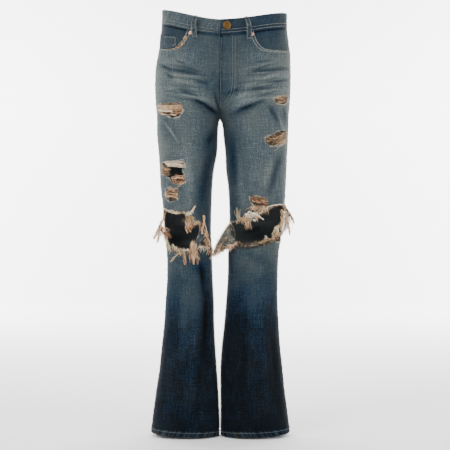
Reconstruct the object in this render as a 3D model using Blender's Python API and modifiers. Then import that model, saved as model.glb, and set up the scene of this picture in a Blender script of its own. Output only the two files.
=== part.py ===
"""Ripped bootcut jeans in faded denim, filled out as if worn.

The origin is the middle of the waist opening, where the wearer's waist holds them up. +Z is up, -Y is the
front and +X is the wearer's left. Lengths are metres, and the tables are millimetres with named columns.
"""

import math
import random
from functools import partial

import bmesh
import bpy
import numpy as np
from mathutils import Vector
from mathutils.bvhtree import BVHTree

MM = 0.001
RIGHT, LEFT = -1, 1  # the wearer's legs, as the sign of X
FRONT, BACK = -1, 1  # the faces, as the sign of Y
LEG_NAMES = {RIGHT: "right", LEFT: "left"}

# Cloth and seams
CLOTH = 1.6 * MM  # one layer of denim
FACING = 1.2 * MM  # the lighter layers: pocket facings, coin pocket and fly
SEAM_GAP = 0.3 * MM  # between pieces that are sewn together
ROW_GAP = 0.5 * MM  # between an upper piece's lower edge and the edge sewn to it
SEAM_SHARE = 0.0024  # a panel's edge stays this share of its width off a side seam or inseam
HALF_SHIFT = 0.2 * MM  # each half stands this far off the centre seam

# Lengths down from the waist, and places across
FORK_X = -12.5 * MM  # the legs part here
CENTRE_LEAN = 5 * MM  # the centre seam leans this far towards the wearer's left at the waist
CROTCH_DROP = 262 * MM
SPLIT_DROP = 120 * MM  # above it the two halves share one round section
EASE_FROM = 185 * MM  # between these drops the shares of a panel's width change over to those of the legs
EASE_TO = 240 * MM
EASE_POWER = 3
SIDE_TOP_DROP = {RIGHT: -7 * MM, LEFT: 2 * MM}  # the waistband's upper edge at the side seams
CENTRE_TOP_DROP = {FRONT: 30 * MM, BACK: -5 * MM}
BAND_DEPTH = 37 * MM
BAND_THICK = 2.6 * MM
BAND_LIFT = 0.8 * MM  # the waistband stands this far proud of the panels
LAP_FROM = 0.7  # share of the right front where the waistband's end starts to sink under
LAP_TO = 0.84  # and share of the left front where that end stops
LAP_GAP = 0.4 * MM
YOKE_DEPTH_SIDE = 30 * MM
YOKE_DEPTH_CENTRE = 72 * MM
HEM_DROP_OUTER = 1045 * MM
HEM_DROP_INNER = 1054 * MM
HEM_DEPTH = 15 * MM
HEM_THICK = 3.0 * MM
HEM_LIFT = 0.6 * MM
LEG_MIDDLE = 75 * MM  # from FORK_X out to the middle of a leg

# Outlines on the front are drawn as they look from this eye point, at full size on the plane y = 0
EYE_DISTANCE = 2.8
EYE_DROP = 0.5275
CUT_NEAR = -0.30  # cutters start here, in front of the garment
CUT_MIDDLE = -0.001  # and end here where only the front face is cut
CUT_PAST = 0.05  # or here where they cut up to the side seam
CUT_BEHIND = (0.01, 0.30)  # those for the back face lie between these
CUT_TO_SEAM = 9 * MM  # and stop this far before the side seams, where the seam's layers hold

# The garment's sections. Widths run out from FORK_X, and front and back from seam_y, where the seams lie.
SECTION_COLUMNS = (
    "drop",
    "right_outer",
    "right_inner",
    "left_outer",
    "left_inner",
    "front",
    "back",
    "seam_y",
    "power",
)
SECTION_ROWS = (
    (-20, 144, 0, 168, 0, 95, 97, 0, 2.40),
    (45, 146, 0, 167, 0, 99, 104, 0, 2.40),
    (60, 149, 0, 169, 0, 100, 107, 0, 2.38),
    (90, 152, 0, 174, 0, 102, 113, 1, 2.34),
    (135, 160, 0, 176, 0, 104, 121, 2, 2.28),
    (180, 162, 0, 176, 0, 105, 125, 3, 2.22),
    (225, 160, 0, 174, 0, 103, 120, 4, 2.15),
    (262, 157, 0, 171, 0, 98, 108, 5, 2.10),
    (276, 157, 4, 171, 6, 96, 104, 5, 2.08),
    (300, 157, 6, 170, 9, 92, 97, 5, 2.06),
    (345, 153, 8, 168, 14, 86, 89, 5, 2.04),
    (390, 150, 16, 166, 16, 82, 84, 4, 2.04),
    (430, 148, 20, 164, 21, 79, 80, 3, 2.04),
    (480, 142, 22, 161, 24, 73, 74, 2, 2.04),
    (540, 137, 23, 154, 24, 66, 66, 1, 2.04),
    (600, 132, 21, 146, 21, 62, 63, 1, 2.04),
    (660, 132, 19, 144, 20, 60, 66, 4, 2.04),
    (720, 136, 16, 144, 16, 60, 68, 7, 2.04),
    (780, 140, 15, 147, 11, 60, 66, 9, 2.04),
    (825, 145, 13, 150, 6, 60, 63, 10, 2.04),
    (885, 151, 9, 156, 2, 60, 61, 10, 2.04),
    (945, 160, 5, 162, 2, 60, 60, 10, 2.04),
    (1005, 168, 2, 170, 2, 61, 61, 10, 2.04),
    (1060, 174, 2, 176, 2, 62, 62, 10, 2.04),
)

# The main creases, as straight troughs (depth below 0) and ridges seen from the front or from behind
CREASE_SEAM_SHARE = 0.06  # they fade out over this share of a panel's width beside its seams
CREASE_TOP = 75 * MM  # and above this drop, over the run below it
CREASE_TOP_RUN = 30 * MM
CREASE_END = 0.35  # what is left of a crease's depth at its two ends
FOLD_COLUMNS = ("face", "x0", "z0", "x1", "z1", "width", "depth")
FOLD_ROWS = (
    (FRONT, -92, -210, -24, -250, 11, -5.0),
    (FRONT, 96, -222, 10, -254, 12, -4.5),
    (FRONT, -88, -192, -20, -230, 13, 3.0),
    (FRONT, 92, -204, 6, -232, 13, 2.6),
    (FRONT, -152, -130, -60, -142, 12, -2.6),
    (FRONT, -146, -152, -40, -172, 12, 2.4),
    (FRONT, 60, -146, 150, -132, 12, -2.6),
    (FRONT, 34, -176, 146, -158, 12, 2.4),
    (FRONT, 128, -240, 152, -288, 9, -3.0),
    (FRONT, -150, -276, -116, -322, 12, -3.0),
    (FRONT, -48, -640, -40, -960, 15, -6.0),
    (FRONT, -74, -690, -84, -1030, 17, 3.5),
    (FRONT, -120, -660, -136, -980, 16, -3.5),
    (FRONT, 40, -650, 26, -900, 15, -4.5),
    (FRONT, 70, -700, 74, -1030, 18, 3.5),
    (FRONT, 110, -640, 132, -960, 16, -4.0),
    (FRONT, -96, -610, -60, -650, 13, -3.0),
    (FRONT, 52, -600, 112, -622, 13, -3.0),
    (BACK, -118, -272, -30, -290, 18, -4.5),
    (BACK, 104, -276, 10, -292, 18, -4.5),
    (BACK, -132, -556, -44, -540, 15, -5.0),
    (BACK, 26, -540, 124, -560, 15, -5.0),
    (BACK, -128, -592, -52, -610, 15, -4.0),
    (BACK, 30, -612, 118, -590, 15, -4.0),
    (BACK, -60, -660, -52, -1000, 17, -4.5),
    (BACK, 44, -660, 36, -1000, 17, -4.5),
    (BACK, -112, -640, -128, -980, 18, 3.5),
    (BACK, 96, -640, 112, -980, 18, 3.5),
)

# Rips that are cut through, as outlines seen from the front
RIPS = {
    "thigh_right": (
        RIGHT,
        (
            (-166, -227),
            (-155, -225),
            (-137, -224),
            (-120, -226),
            (-112, -232),
            (-105, -241),
            (-112, -248),
            (-116, -256),
            (-132, -259),
            (-143, -255),
            (-155, -249),
            (-166, -246),
        ),
    ),
    "low_thigh_right": (
        RIGHT,
        (
            (-157, -373),
            (-145, -370),
            (-103, -371),
            (-101, -383),
            (-110, -390),
            (-103, -400),
            (-100, -420),
            (-117, -425),
            (-132, -420),
            (-138, -410),
            (-150, -405),
            (-157, -395),
        ),
    ),
    "above_knee_right": (
        RIGHT,
        (
            (-148, -438),
            (-135, -434),
            (-120, -441),
            (-116, -455),
            (-122, -466),
            (-140, -469),
            (-148, -458),
        ),
    ),
    "knee_right": (
        RIGHT,
        (
            (-172, -494),
            (-150, -491),
            (-126, -496),
            (-116, -498),
            (-88, -499),
            (-81, -501),
            (-80, -519),
            (-63, -520),
            (-64, -545),
            (-70, -560),
            (-78, -575),
            (-89, -593),
            (-110, -595),
            (-125, -588),
            (-135, -581),
            (-172, -581),
        ),
    ),
    "side_knee_right": (
        RIGHT,
        ((-62, -568), (-55, -562), (-46, -569), (-44, -584), (-54, -588), (-61, -582)),
    ),
    "hip_left": (
        LEFT,
        (
            (121, -210),
            (137, -206),
            (155, -208),
            (157, -218),
            (147, -226),
            (130, -223),
        ),
    ),
    "thigh_left": (
        LEFT,
        (
            (100, -310),
            (115, -305),
            (135, -293),
            (152, -292),
            (152, -310),
            (140, -324),
            (117, -330),
            (104, -323),
        ),
    ),
    "above_knee_left": (
        LEFT,
        (
            (62, -458),
            (80, -456),
            (102, -462),
            (105, -475),
            (92, -482),
            (75, -480),
            (65, -470),
        ),
    ),
    "knee_left": (
        LEFT,
        (
            (23, -520),
            (34, -516),
            (52, -518),
            (60, -514),
            (80, -515),
            (83, -505),
            (93, -493),
            (108, -483),
            (128, -478),
            (148, -477),
            (172, -482),
            (172, -562),
            (135, -569),
            (112, -567),
            (97, -572),
            (75, -577),
            (52, -580),
            (35, -577),
            (23, -572),
            (2, -572),
            (2, -525),
        ),
    ),
}

# The front pocket mouths, from the waistband out to the side seam, and the patches, seen from the front
MOUTHS = {
    RIGHT: (
        (-94, -36),
        (-100, -51),
        (-106, -63),
        (-114, -72),
        (-122, -81),
        (-130, -86),
        (-144, -88),
        (-166, -89),
    ),
    LEFT: (
        (73, -38),
        (76, -55),
        (82, -68),
        (90, -80),
        (102, -88),
        (125, -91),
        (164, -94),
    ),
}
FACING_UNDER = 12 * MM  # a facing runs this far under the front panel
FACING_DEPTH = 30 * MM  # and this far below the mouth's lowest point
COIN_POCKET = ((-153, -55), (-123, -56), (-122, -77), (-132, -83), (-153, -85))
FLY = ((-14, -60), (29, -60), (29, -178), (26, -200), (17, -220), (4, -232), (-16, -238))
BACK_POCKET = ((26, -126), (144, -118), (132, -238), (82, -262), (34, -244))  # x is out from FORK_X
MOUTH_LOWEST = 130 * MM  # the layers at the pockets and the fly are cut from panels that reach this drop
FLY_LOWEST = 250 * MM
POCKET_LOWEST = 300 * MM

# Belt loops: where the middle is across, and how far the lower end leans to +X
LOOP_COLUMNS = ("side", "face", "x", "lean")
LOOP_ROWS = {
    "belt_loop_front_right": (RIGHT, FRONT, -72, 0),
    "belt_loop_front_left": (LEFT, FRONT, 55, 5),
    "belt_loop_back_right": (RIGHT, BACK, -66, 0),
    "belt_loop_back_left": (LEFT, BACK, 54, 0),
    "belt_loop_back_middle": (RIGHT, BACK, -8, 0),
}
LOOP_WIDTH = 12 * MM
LOOP_LENGTH = 54 * MM
LOOP_THICK = 2.0 * MM
LOOP_STAND = 9.0 * MM  # a belt passes through this gap
LOOP_TACK = 5 * MM  # sewn down for this far at each end
LOOP_RISE = 8 * MM  # and standing off over this length

BUTTON_AT = (5, -29)
BUTTON_RADIUS = 10 * MM
BUTTON_HEIGHT = 5 * MM
RIVETS_AT = {RIGHT: (-87, -47), LEFT: (68, -50)}
RIVET_RADIUS = 4.5 * MM
RIVET_HEIGHT = 2.2 * MM

# Tufts of loosened weft, each grown from a narrow strip just inside a torn edge. The strip's route is x, z
# and lift, the strands point towards x, z as drawn, and reach is their shortest and longest length.
FRAY_COLUMNS = ("side", "cells", "toward", "reach", "rise", "width", "route")
FRAY_ROWS = {
    "fray_thigh_right": (RIGHT, 8, (1, 0.02), (40, 54), 1.5, 3, ((-161, -230, 0), (-161, -247, 0))),
    "fray_low_thigh_right": (RIGHT, 7, (1, 0.04), (30, 46), 2.0, 3, ((-155.2, -376, 0), (-155.2, -396, 0))),
    "fray_curl_right": (RIGHT, 5, (-1, -0.25), (16, 28), 4.0, 3, ((-104.9, -403, 0), (-103.9, -418, 0))),
    "fray_above_knee_right": (RIGHT, 6, (1, 0.0), (14, 24), 1.5, 3, ((-145, -441, 0), (-146, -460, 0))),
    "fray_knee_top_right": (
        RIGHT, 8, (0.1, -1), (7, 18), 1.0, 3,
        ((-140, -495.4, 0), (-114, -500.4, 0), (-92, -501.4, 0)),
    ),
    "fray_knee_side_right": (
        RIGHT, 11, (0.8, -1), (8, 18), 2.0, 4,
        (
            (-149, -487, 1.7), (-149, -505, 1.7), (-148.5, -528, 2.2),
            (-146.5, -546, 2.2), (-144.5, -558, 1.7), (-143, -569, 1.7),
        ),
    ),
    "fray_knee_hang_right": (
        RIGHT, 7, (-1, -0.7), (12, 26), 2.0, 4,
        ((-77, -492, 3), (-82, -506, 1), (-86, -522, 0)),
    ),
    "fray_knee_tuft_right": (
        RIGHT, 6, (-0.1, -1), (24, 42), 2.0, 5,
        ((-88, -577, 0.9), (-80, -574, 1.2), (-72, -582, 1.2)),
    ),
    "fray_knee_strip_right": (
        RIGHT, 10, (-0.5, -1), (7, 15), 2.0, 6,
        ((-58, -518, 1.3), (-56, -537, 1.3), (-45, -557, 1.3), (-36, -584, 1.3)),
    ),
    "fray_knee_foot_right": (
        RIGHT, 8, (-0.2, -1), (14, 28), 3.0, 3,
        ((-134, -577.6, 0.8), (-112, -590.6, 0.8), (-94, -589, 0.8)),
    ),
    "fray_hip_left": (LEFT, 5, (1, 0.04), (14, 24), 1.0, 2.6, ((132, -208.8, 0), (136, -219, 0))),
    "fray_thigh_left": (LEFT, 6, (-1, -0.3), (24, 38), 1.5, 3, ((148, -296, 0), (148, -311, 0))),
    "fray_above_knee_left": (LEFT, 5, (1, -0.1), (20, 30), 1.5, 3, ((66, -460, 0), (69, -472, 0))),
    "fray_knee_top_left": (
        LEFT, 10, (0.1, -1), (9, 32), 2.0, 4,
        ((38, -521.2, 0), (58, -520.3, 0), (85, -519.4, 0), (94, -502.4, 0)),
    ),
    "fray_knee_side_left": (
        LEFT, 11, (-1, -0.5), (8, 16), 2.0, 4,
        (
            (141, -473, 1.7), (142, -494, 2.2), (140, -514, 2.5),
            (135, -534, 2.5), (127, -554, 2.2), (120, -574, 1.7),
        ),
    ),
    "fray_knee_foot_left": (
        LEFT, 14, (0.15, 1), (5, 10), 1.5, 3,
        ((42, -576, 0), (75, -573.2, 0), (100, -567.3, 0), (126, -563.2, 0)),
    ),
}
FRAY_THICK = 1.2 * MM
FRAY_WIDEST = 1.6 * MM  # half a strand's width at its root
FRAY_STATIONS = (0.35, 0.7, 1.0)
FRAY_TAPER = (0.8, 0.6, 0.3)
FRAY_WAVE = 0.6
FRAY_FAN = 0.06  # the strands of a tuft spread apart by this slope to either side, and so never cross
FRAY_SEED = 7

# The torn tongue that hangs from the left knee: rows from its root outwards, with its upper and lower edge
FLAP_COLUMNS = ("x", "z_upper", "z_lower", "y")
FLAP_ROWS = (
    (25, -548, -574, -43.4),
    (20, -531, -577, -47),
    (14, -520, -580, -47),
    (6, -528, -585, -45),
    (-2, -541, -588, -42),
    (-10, -554, -592, -38),
    (-18, -568, -598, -33),
    (-25, -584, -602, -30),
    (-30, -596, -604, -28),
)
FLAP_CURL = (0, 2.5, 3.5, 2.0, -2.0)  # how far the sheet bows forward from its upper to its lower edge
FLAP_FRINGE = (
    LEFT, 10, (-0.35, -1), (4, 10), 0.5, 3,
    ((18, -580, 0), (3, -588.5, 0), (-10, -594.5, 0), (-20, -602, 0)),
)

# Grid densities
FRONT_COLUMNS = 12
BACK_COLUMNS = 10
BAND_COLUMNS = 8
BAND_ROWS = 3
LAP_COLUMNS = 3
TORSO_STEPS = (0, 0.1, 0.21, 0.32, 0.43, 0.54, 0.65, 0.74, 0.82, 0.89, 0.94, 0.975, 1)
YOKE_STEPS = 3
LEG_STEP = 28 * MM
ARC_SAMPLES = 72
NEAR_SHARE = 0.004  # the steps over which the cloth's slope is taken
NEAR_DROP = 0.5 * MM
ROUND_STEPS = 18


def srgb(code):
    """A hex colour as linear values."""
    parts = [int(code[i : i + 2], 16) / 255 for i in (1, 3, 5)]
    return [p / 12.92 if p <= 0.04045 else ((p + 0.055) / 1.055) ** 2.4 for p in parts] + [1]


def material(name, code, roughness, metallic=0.0):
    made = bpy.data.materials.new(name)
    made.use_nodes = True
    shader = made.node_tree.nodes["Principled BSDF"]
    shader.inputs["Base Color"].default_value = srgb(code)
    shader.inputs["Roughness"].default_value = roughness
    shader.inputs["Metallic"].default_value = metallic
    made.diffuse_color = srgb(code)
    return made


def smooth(at, knots, values):
    """A cubic through the knots, each knot's slope taken from its two neighbours."""
    slopes = np.gradient(values, knots)
    i = np.clip(np.searchsorted(knots, at, side="right") - 1, 0, len(knots) - 2)
    step = knots[i + 1] - knots[i]
    t = np.clip((at - knots[i]) / step, 0, 1)
    rise = t * t * (3 - 2 * t)
    return (
        values[i] * (1 - rise)
        + values[i + 1] * rise
        + step * slopes[i] * t * (1 - t) ** 2
        - step * slopes[i + 1] * t * t * (1 - t)
    )


SECTION_TABLE = np.array(SECTION_ROWS, dtype=float)


def column(name, drop):
    """One column of the section table at the given drops, in metres but for the power."""
    values = SECTION_TABLE[:, SECTION_COLUMNS.index(name)]
    unit = 1 if name == "power" else MM
    return smooth(drop, SECTION_TABLE[:, 0] * MM, values * unit)


def centre_x(drop):
    """The centre seam's X: it leans above the crotch and is the fork line below."""
    return FORK_X + CENTRE_LEAN * np.clip(1 - drop / CROTCH_DROP, 0, 1.2)


def bare_point(side, face, drop, share):
    """The smooth form without creases. share runs from the side seam, 0, to the centre or inseam, 1.

    Each half is a superellipse tube. Above the crotch it is cut off at the centre plane, and its middle moves
    out from that plane as the halves part, which draws the rise seam's curve. Near the fork the growing width
    goes to the cloth beside the seam, and the rest runs straight down.
    """
    leg = LEG_NAMES[side]
    power = column("power", drop)
    outer = column(leg + "_outer", drop) - side * (centre_x(drop) - FORK_X)
    inner = column(leg + "_inner", drop)
    parted = np.clip((drop - SPLIT_DROP) / (CROTCH_DROP - SPLIT_DROP), 0, 1)
    torso = drop < CROTCH_DROP
    half_width = np.where(torso, outer / (1 + parted), (outer - inner) / 2)
    middle = np.where(torso, parted * half_width, (outer + inner) / 2)
    depth = column("front" if face == FRONT else "back", drop)
    last = np.arccos(-(parted ** (power / 2)))
    angles = np.linspace(0, np.pi, ARC_SAMPLES)[None, :]

    def across(angle):
        turn = np.cos(angle)
        return np.sign(turn) * np.abs(turn) ** (2 / power[:, None]) * half_width[:, None]

    def out(angle):
        return np.abs(np.sin(angle)) ** (2 / power[:, None]) * depth[:, None]

    steps = np.hypot(np.diff(across(angles)), np.diff(out(angles)))
    lengths = np.concatenate([np.zeros((len(drop), 1)), np.cumsum(steps, axis=1)], axis=1)
    lengths /= lengths[:, -1:]
    rows = np.arange(len(drop))
    place_last = last / np.pi * (ARC_SAMPLES - 1)
    cell = np.clip(place_last.astype(int), 0, ARC_SAMPLES - 2)
    kept = lengths[rows, cell] + (place_last - cell) * (lengths[rows, cell + 1] - lengths[rows, cell])
    near_fork = np.clip((drop - EASE_FROM) / (EASE_TO - EASE_FROM), 0, 1)
    near_fork = near_fork * near_fork * (3 - 2 * near_fork)
    eased = share * (1 - (1 - kept) * share**EASE_POWER)
    aim = share * kept * (1 - near_fork) + eased * near_fork
    cell = np.clip((lengths < aim[:, None]).sum(axis=1) - 1, 0, ARC_SAMPLES - 2)
    low, high = lengths[rows, cell], lengths[rows, cell + 1]
    angle = (cell + (aim - low) / np.maximum(high - low, 1e-9)) * np.pi / (ARC_SAMPLES - 1)
    x = centre_x(drop) + side * (HALF_SHIFT + middle + across(angle[:, None])[:, 0])
    y = column("seam_y", drop) + face * out(angle[:, None])[:, 0]
    return np.stack([x, y, -drop], axis=1)


def seen(points):
    """Where points appear from the eye point, on the plane y = 0."""
    scale = EYE_DISTANCE / (EYE_DISTANCE + points[:, 1])
    return np.stack([points[:, 0] * scale, (points[:, 2] + EYE_DROP) * scale - EYE_DROP], axis=1)


def crease_depth(face, points):
    """How far the main creases move the cloth out at the given bare points."""
    flat = seen(points) if face == FRONT else points[:, [0, 2]]
    depth = np.zeros(len(points))
    for row in FOLD_ROWS:
        fold = dict(zip(FOLD_COLUMNS, row))
        if fold["face"] != face:
            continue
        start = np.array([fold["x0"], fold["z0"]]) * MM
        along = np.array([fold["x1"], fold["z1"]]) * MM - start
        share = np.clip(((flat - start) @ along) / (along @ along), 0, 1)
        off = np.linalg.norm(flat - start - share[:, None] * along, axis=1)
        fade = CREASE_END + (1 - CREASE_END) * np.sin(np.pi * share)
        depth += fold["depth"] * MM * fade * np.exp(-((off / (fold["width"] * MM)) ** 2))
    return depth


def cloth_point(side, face, drop, share, lift=0.0):
    """Points on the creased cloth, moved out by lift."""
    drop, share, lift = (np.asarray(v, dtype=float) for v in np.broadcast_arrays(drop, share, lift))
    shape = drop.shape
    drop, share, lift = drop.ravel(), share.ravel(), lift.ravel()
    here = bare_point(side, face, drop, share)
    ahead = bare_point(side, face, drop, np.clip(share + NEAR_SHARE, 0, 1))
    behind = bare_point(side, face, drop, np.clip(share - NEAR_SHARE, 0, 1))
    below = bare_point(side, face, drop + NEAR_DROP, share)
    above = bare_point(side, face, drop - NEAR_DROP, share)
    normal = np.cross(ahead - behind, below - above)
    normal /= np.linalg.norm(normal, axis=1)[:, None]
    normal *= -side * face
    seam = np.clip(np.minimum(share, 1 - share) / CREASE_SEAM_SHARE, 0, 1)
    top = np.clip((drop - CREASE_TOP) / CREASE_TOP_RUN, 0, 1)
    moved = crease_depth(face, here) * seam * top + lift
    return (here + normal * moved[:, None]).reshape(*shape, 3)


def place(side, x, z, lift=0.0):
    """The front panel's point that is seen at x, z. Past the panel's edge it carries on straight out."""
    aim = np.array([x, z]) * MM
    shares = np.linspace(0, 1, 61)
    depth = -0.08
    for _ in range(4):
        scale = (EYE_DISTANCE + depth) / EYE_DISTANCE
        real_x = aim[0] * scale
        drop = EYE_DROP - (aim[1] + EYE_DROP) * scale
        row = bare_point(side, FRONT, np.full(61, drop), shares)
        order = np.argsort(row[:, 0])
        share = np.interp(real_x, row[order, 0], shares[order])
        depth = float(np.interp(share, shares, row[:, 1]))
    found = cloth_point(side, FRONT, drop, share, lift * MM)
    past = real_x - np.clip(real_x, row[:, 0].min(), row[:, 0].max())
    return Vector(found) + Vector((past, 0, 0))


def waist_drop(side, face, share):
    ease = share * share * (3 - 2 * share)
    return SIDE_TOP_DROP[side] + (CENTRE_TOP_DROP[face] - SIDE_TOP_DROP[side]) * ease


def band_foot(side, face, share):
    return waist_drop(side, face, share) + BAND_DEPTH


def yoke_foot(side, face, share):
    return band_foot(side, face, share) + YOKE_DEPTH_SIDE + (YOKE_DEPTH_CENTRE - YOKE_DEPTH_SIDE) * share


def hem_foot(share):
    return HEM_DROP_OUTER + (HEM_DROP_INNER - HEM_DROP_OUTER) * share


def panel_shares(columns):
    return np.linspace(SEAM_SHARE, 1 - SEAM_SHARE, columns + 1)


def panel_drops(side, face, shares, top):
    """Rows from the piece's upper edge to the crotch, then down the leg to the hem's upper edge."""
    upper = top(side, face, shares) + ROW_GAP
    torso = [upper + (CROTCH_DROP - upper) * step for step in TORSO_STEPS]
    lower = hem_foot(shares) - HEM_DEPTH - ROW_GAP
    count = round((lower.mean() - CROTCH_DROP) / LEG_STEP)
    legs = [CROTCH_DROP + (lower - CROTCH_DROP) * k / count for k in range(1, count + 1)]
    return np.array(torso + legs)


def collection(name):
    made = bpy.data.collections.new(name)
    bpy.context.scene.collection.children.link(made)
    return made


def add_object(name, mesh, group, finish=None):
    made = bpy.data.objects.new(name, mesh)
    group.objects.link(made)
    if finish:
        mesh.materials.append(finish)
    return made


def loft(name, points, closed=False):
    """A mesh through rows of points. Its cells are cut the same way, so that layers over each other match."""
    rows, columns = points.shape[:2]
    mesh = bpy.data.meshes.new(name)
    wrap = columns if closed else columns - 1
    faces = []
    for row in range(rows - 1):
        for cell in range(wrap):
            beside = (cell + 1) % columns
            above, below = row * columns, (row + 1) * columns
            faces.append((above + cell, above + beside, below + beside))
            faces.append((above + cell, below + beside, below + cell))
    mesh.from_pydata(points.reshape(-1, 3).tolist(), [], faces)
    return mesh


def turn_out(mesh, away_from):
    """Flips a mesh whose faces look towards the upright line through the given point."""
    facing = 0
    for face in mesh.polygons:
        line = Vector((away_from[0], away_from[1], face.center.z))
        facing += face.normal.dot(face.center - line) * face.area
    if facing < 0:
        mesh.flip_normals()
    return mesh


def solidify(thing, thickness):
    made = thing.modifiers.new("Cloth", "SOLIDIFY")
    made.thickness = thickness
    made.offset = -1
    made.use_even_offset = False
    return made


def add_cloth(name, side, points, thickness, group, finish):
    """A wall of cloth on one side's rows of points, which are its outer face."""
    cloth = add_object(name, turn_out(loft(name, points), leg_axis(side)), group, finish)
    solidify(cloth, thickness)
    return cloth


def leg_axis(side):
    return (FORK_X + side * LEG_MIDDLE, 0.0)


def outline_cutter(name, outline, group, near, far, in_perspective):
    """A closed outline in x, z, in millimetres, as a solid along Y, narrowing towards the eye if asked."""
    curve = bpy.data.curves.new(name, "CURVE")
    curve.dimensions = "2D"
    curve.fill_mode = "BOTH"
    curve.extrude = (far - near) / 2
    spline = curve.splines.new("POLY")
    spline.points.add(len(outline) - 1)
    for point, (x, z) in zip(spline.points, outline):
        point.co = (x * MM, z * MM, 0, 1)
    spline.use_cyclic_u = True
    guide = bpy.data.objects.new(name, curve)
    guide.rotation_euler = (math.pi / 2, 0, 0)
    guide.location.y = (near + far) / 2
    group.objects.link(guide)
    bpy.context.view_layer.update()
    mesh = bpy.data.meshes.new_from_object(guide.evaluated_get(bpy.context.evaluated_depsgraph_get()))
    mesh.transform(guide.matrix_world)
    bpy.data.objects.remove(guide)
    shape = bmesh.new()
    shape.from_mesh(mesh)
    bmesh.ops.remove_doubles(shape, verts=shape.verts, dist=1e-6)
    bmesh.ops.recalc_face_normals(shape, faces=shape.faces)
    if in_perspective:
        for vert in shape.verts:
            scale = (EYE_DISTANCE + vert.co.y) / EYE_DISTANCE
            vert.co.x *= scale
            vert.co.z = (vert.co.z + EYE_DROP) * scale - EYE_DROP
    shape.to_mesh(mesh)
    shape.free()
    made = add_object(name, mesh, group)
    made.hide_render = True
    made.display_type = "WIRE"
    return made


def boolean(thing, cutter, operation):
    made = thing.modifiers.new(cutter.name, "BOOLEAN")
    made.operation = operation
    made.solver = "EXACT"
    made.object = cutter
    return made


def mouth_outline(side, grow_in, grow_down):
    """The corner outside a pocket mouth, its curved edge moved in towards the fly and down."""
    curve = [(x - side * grow_in / MM, z - grow_down / MM) for x, z in MOUTHS[side]]
    far = side * 230
    return curve + [(far, curve[-1][1]), (far, 40), (curve[0][0], 40)]


def build_front(side, group, cutters, denim):
    leg = LEG_NAMES[side]
    shares = panel_shares(FRONT_COLUMNS)
    drops = panel_drops(side, FRONT, shares, band_foot)
    panel = add_cloth("front_" + leg, side, cloth_point(side, FRONT, drops, shares), CLOTH, group, denim)
    mouth = outline_cutter("cut_mouth_" + leg, mouth_outline(side, 0, 0), cutters, CUT_NEAR, CUT_PAST, True)
    boolean(panel, mouth, "DIFFERENCE")
    for name, (rip_side, outline) in RIPS.items():
        if rip_side == side:
            cutter = outline_cutter("cut_" + name, outline, cutters, CUT_NEAR, -CUT_TO_SEAM, True)
            boolean(panel, cutter, "DIFFERENCE")
    return panel


def build_back(side, group, denim):
    leg = LEG_NAMES[side]
    shares = panel_shares(BACK_COLUMNS)
    drops = panel_drops(side, BACK, shares, yoke_foot)
    add_cloth("back_" + leg, side, cloth_point(side, BACK, drops, shares), CLOTH, group, denim)
    upper = band_foot(side, BACK, shares) + ROW_GAP
    lower = yoke_foot(side, BACK, shares)
    rows = np.array([upper + (lower - upper) * k / YOKE_STEPS for k in range(YOKE_STEPS + 1)])
    add_cloth("yoke_" + leg, side, cloth_point(side, BACK, rows, shares), CLOTH, group, denim)


def build_patch(name, side, face, lift, thickness, group, finish, lowest):
    """A layer made from a panel's own points down to the lowest drop, its outer side at the given lift."""
    columns, top = (FRONT_COLUMNS, band_foot) if face == FRONT else (BACK_COLUMNS, yoke_foot)
    shares = panel_shares(columns)
    drops = panel_drops(side, face, shares, top)
    drops = drops[: int((drops.mean(axis=1) < lowest).sum()) + 1]
    return add_cloth(name, side, cloth_point(side, face, drops, shares, lift), thickness, group, finish)


def build_pockets(side, group, cutters, denim, lining):
    leg = LEG_NAMES[side]
    lift = -CLOTH - SEAM_GAP
    facing = build_patch("pocket_facing_" + leg, side, FRONT, lift, FACING, group, lining, MOUTH_LOWEST)
    outline = mouth_outline(side, FACING_UNDER, FACING_DEPTH)
    cutter = outline_cutter("cut_facing_" + leg, outline, cutters, CUT_NEAR, CUT_PAST, True)
    boolean(facing, cutter, "INTERSECT")
    if side == RIGHT:
        coin = build_patch("coin_pocket", side, FRONT, -CLOTH + FACING, FACING, group, denim, MOUTH_LOWEST)
        cutter = outline_cutter("cut_coin", COIN_POCKET, cutters, CUT_NEAR, CUT_MIDDLE, True)
        boolean(coin, cutter, "INTERSECT")
    lift = SEAM_GAP + CLOTH
    pocket = build_patch("back_pocket_" + leg, side, BACK, lift, CLOTH, group, denim, POCKET_LOWEST)
    outline = [(FORK_X / MM + side * x, z) for x, z in BACK_POCKET]
    cutter = outline_cutter("cut_back_pocket_" + leg, outline, cutters, *CUT_BEHIND, False)
    boolean(pocket, cutter, "INTERSECT")


def build_fly(group, cutters, denim):
    fly = build_patch("fly", LEFT, FRONT, SEAM_GAP + FACING, FACING, group, denim, FLY_LOWEST)
    boolean(fly, outline_cutter("cut_fly", FLY, cutters, CUT_NEAR, CUT_MIDDLE, True), "INTERSECT")


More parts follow.
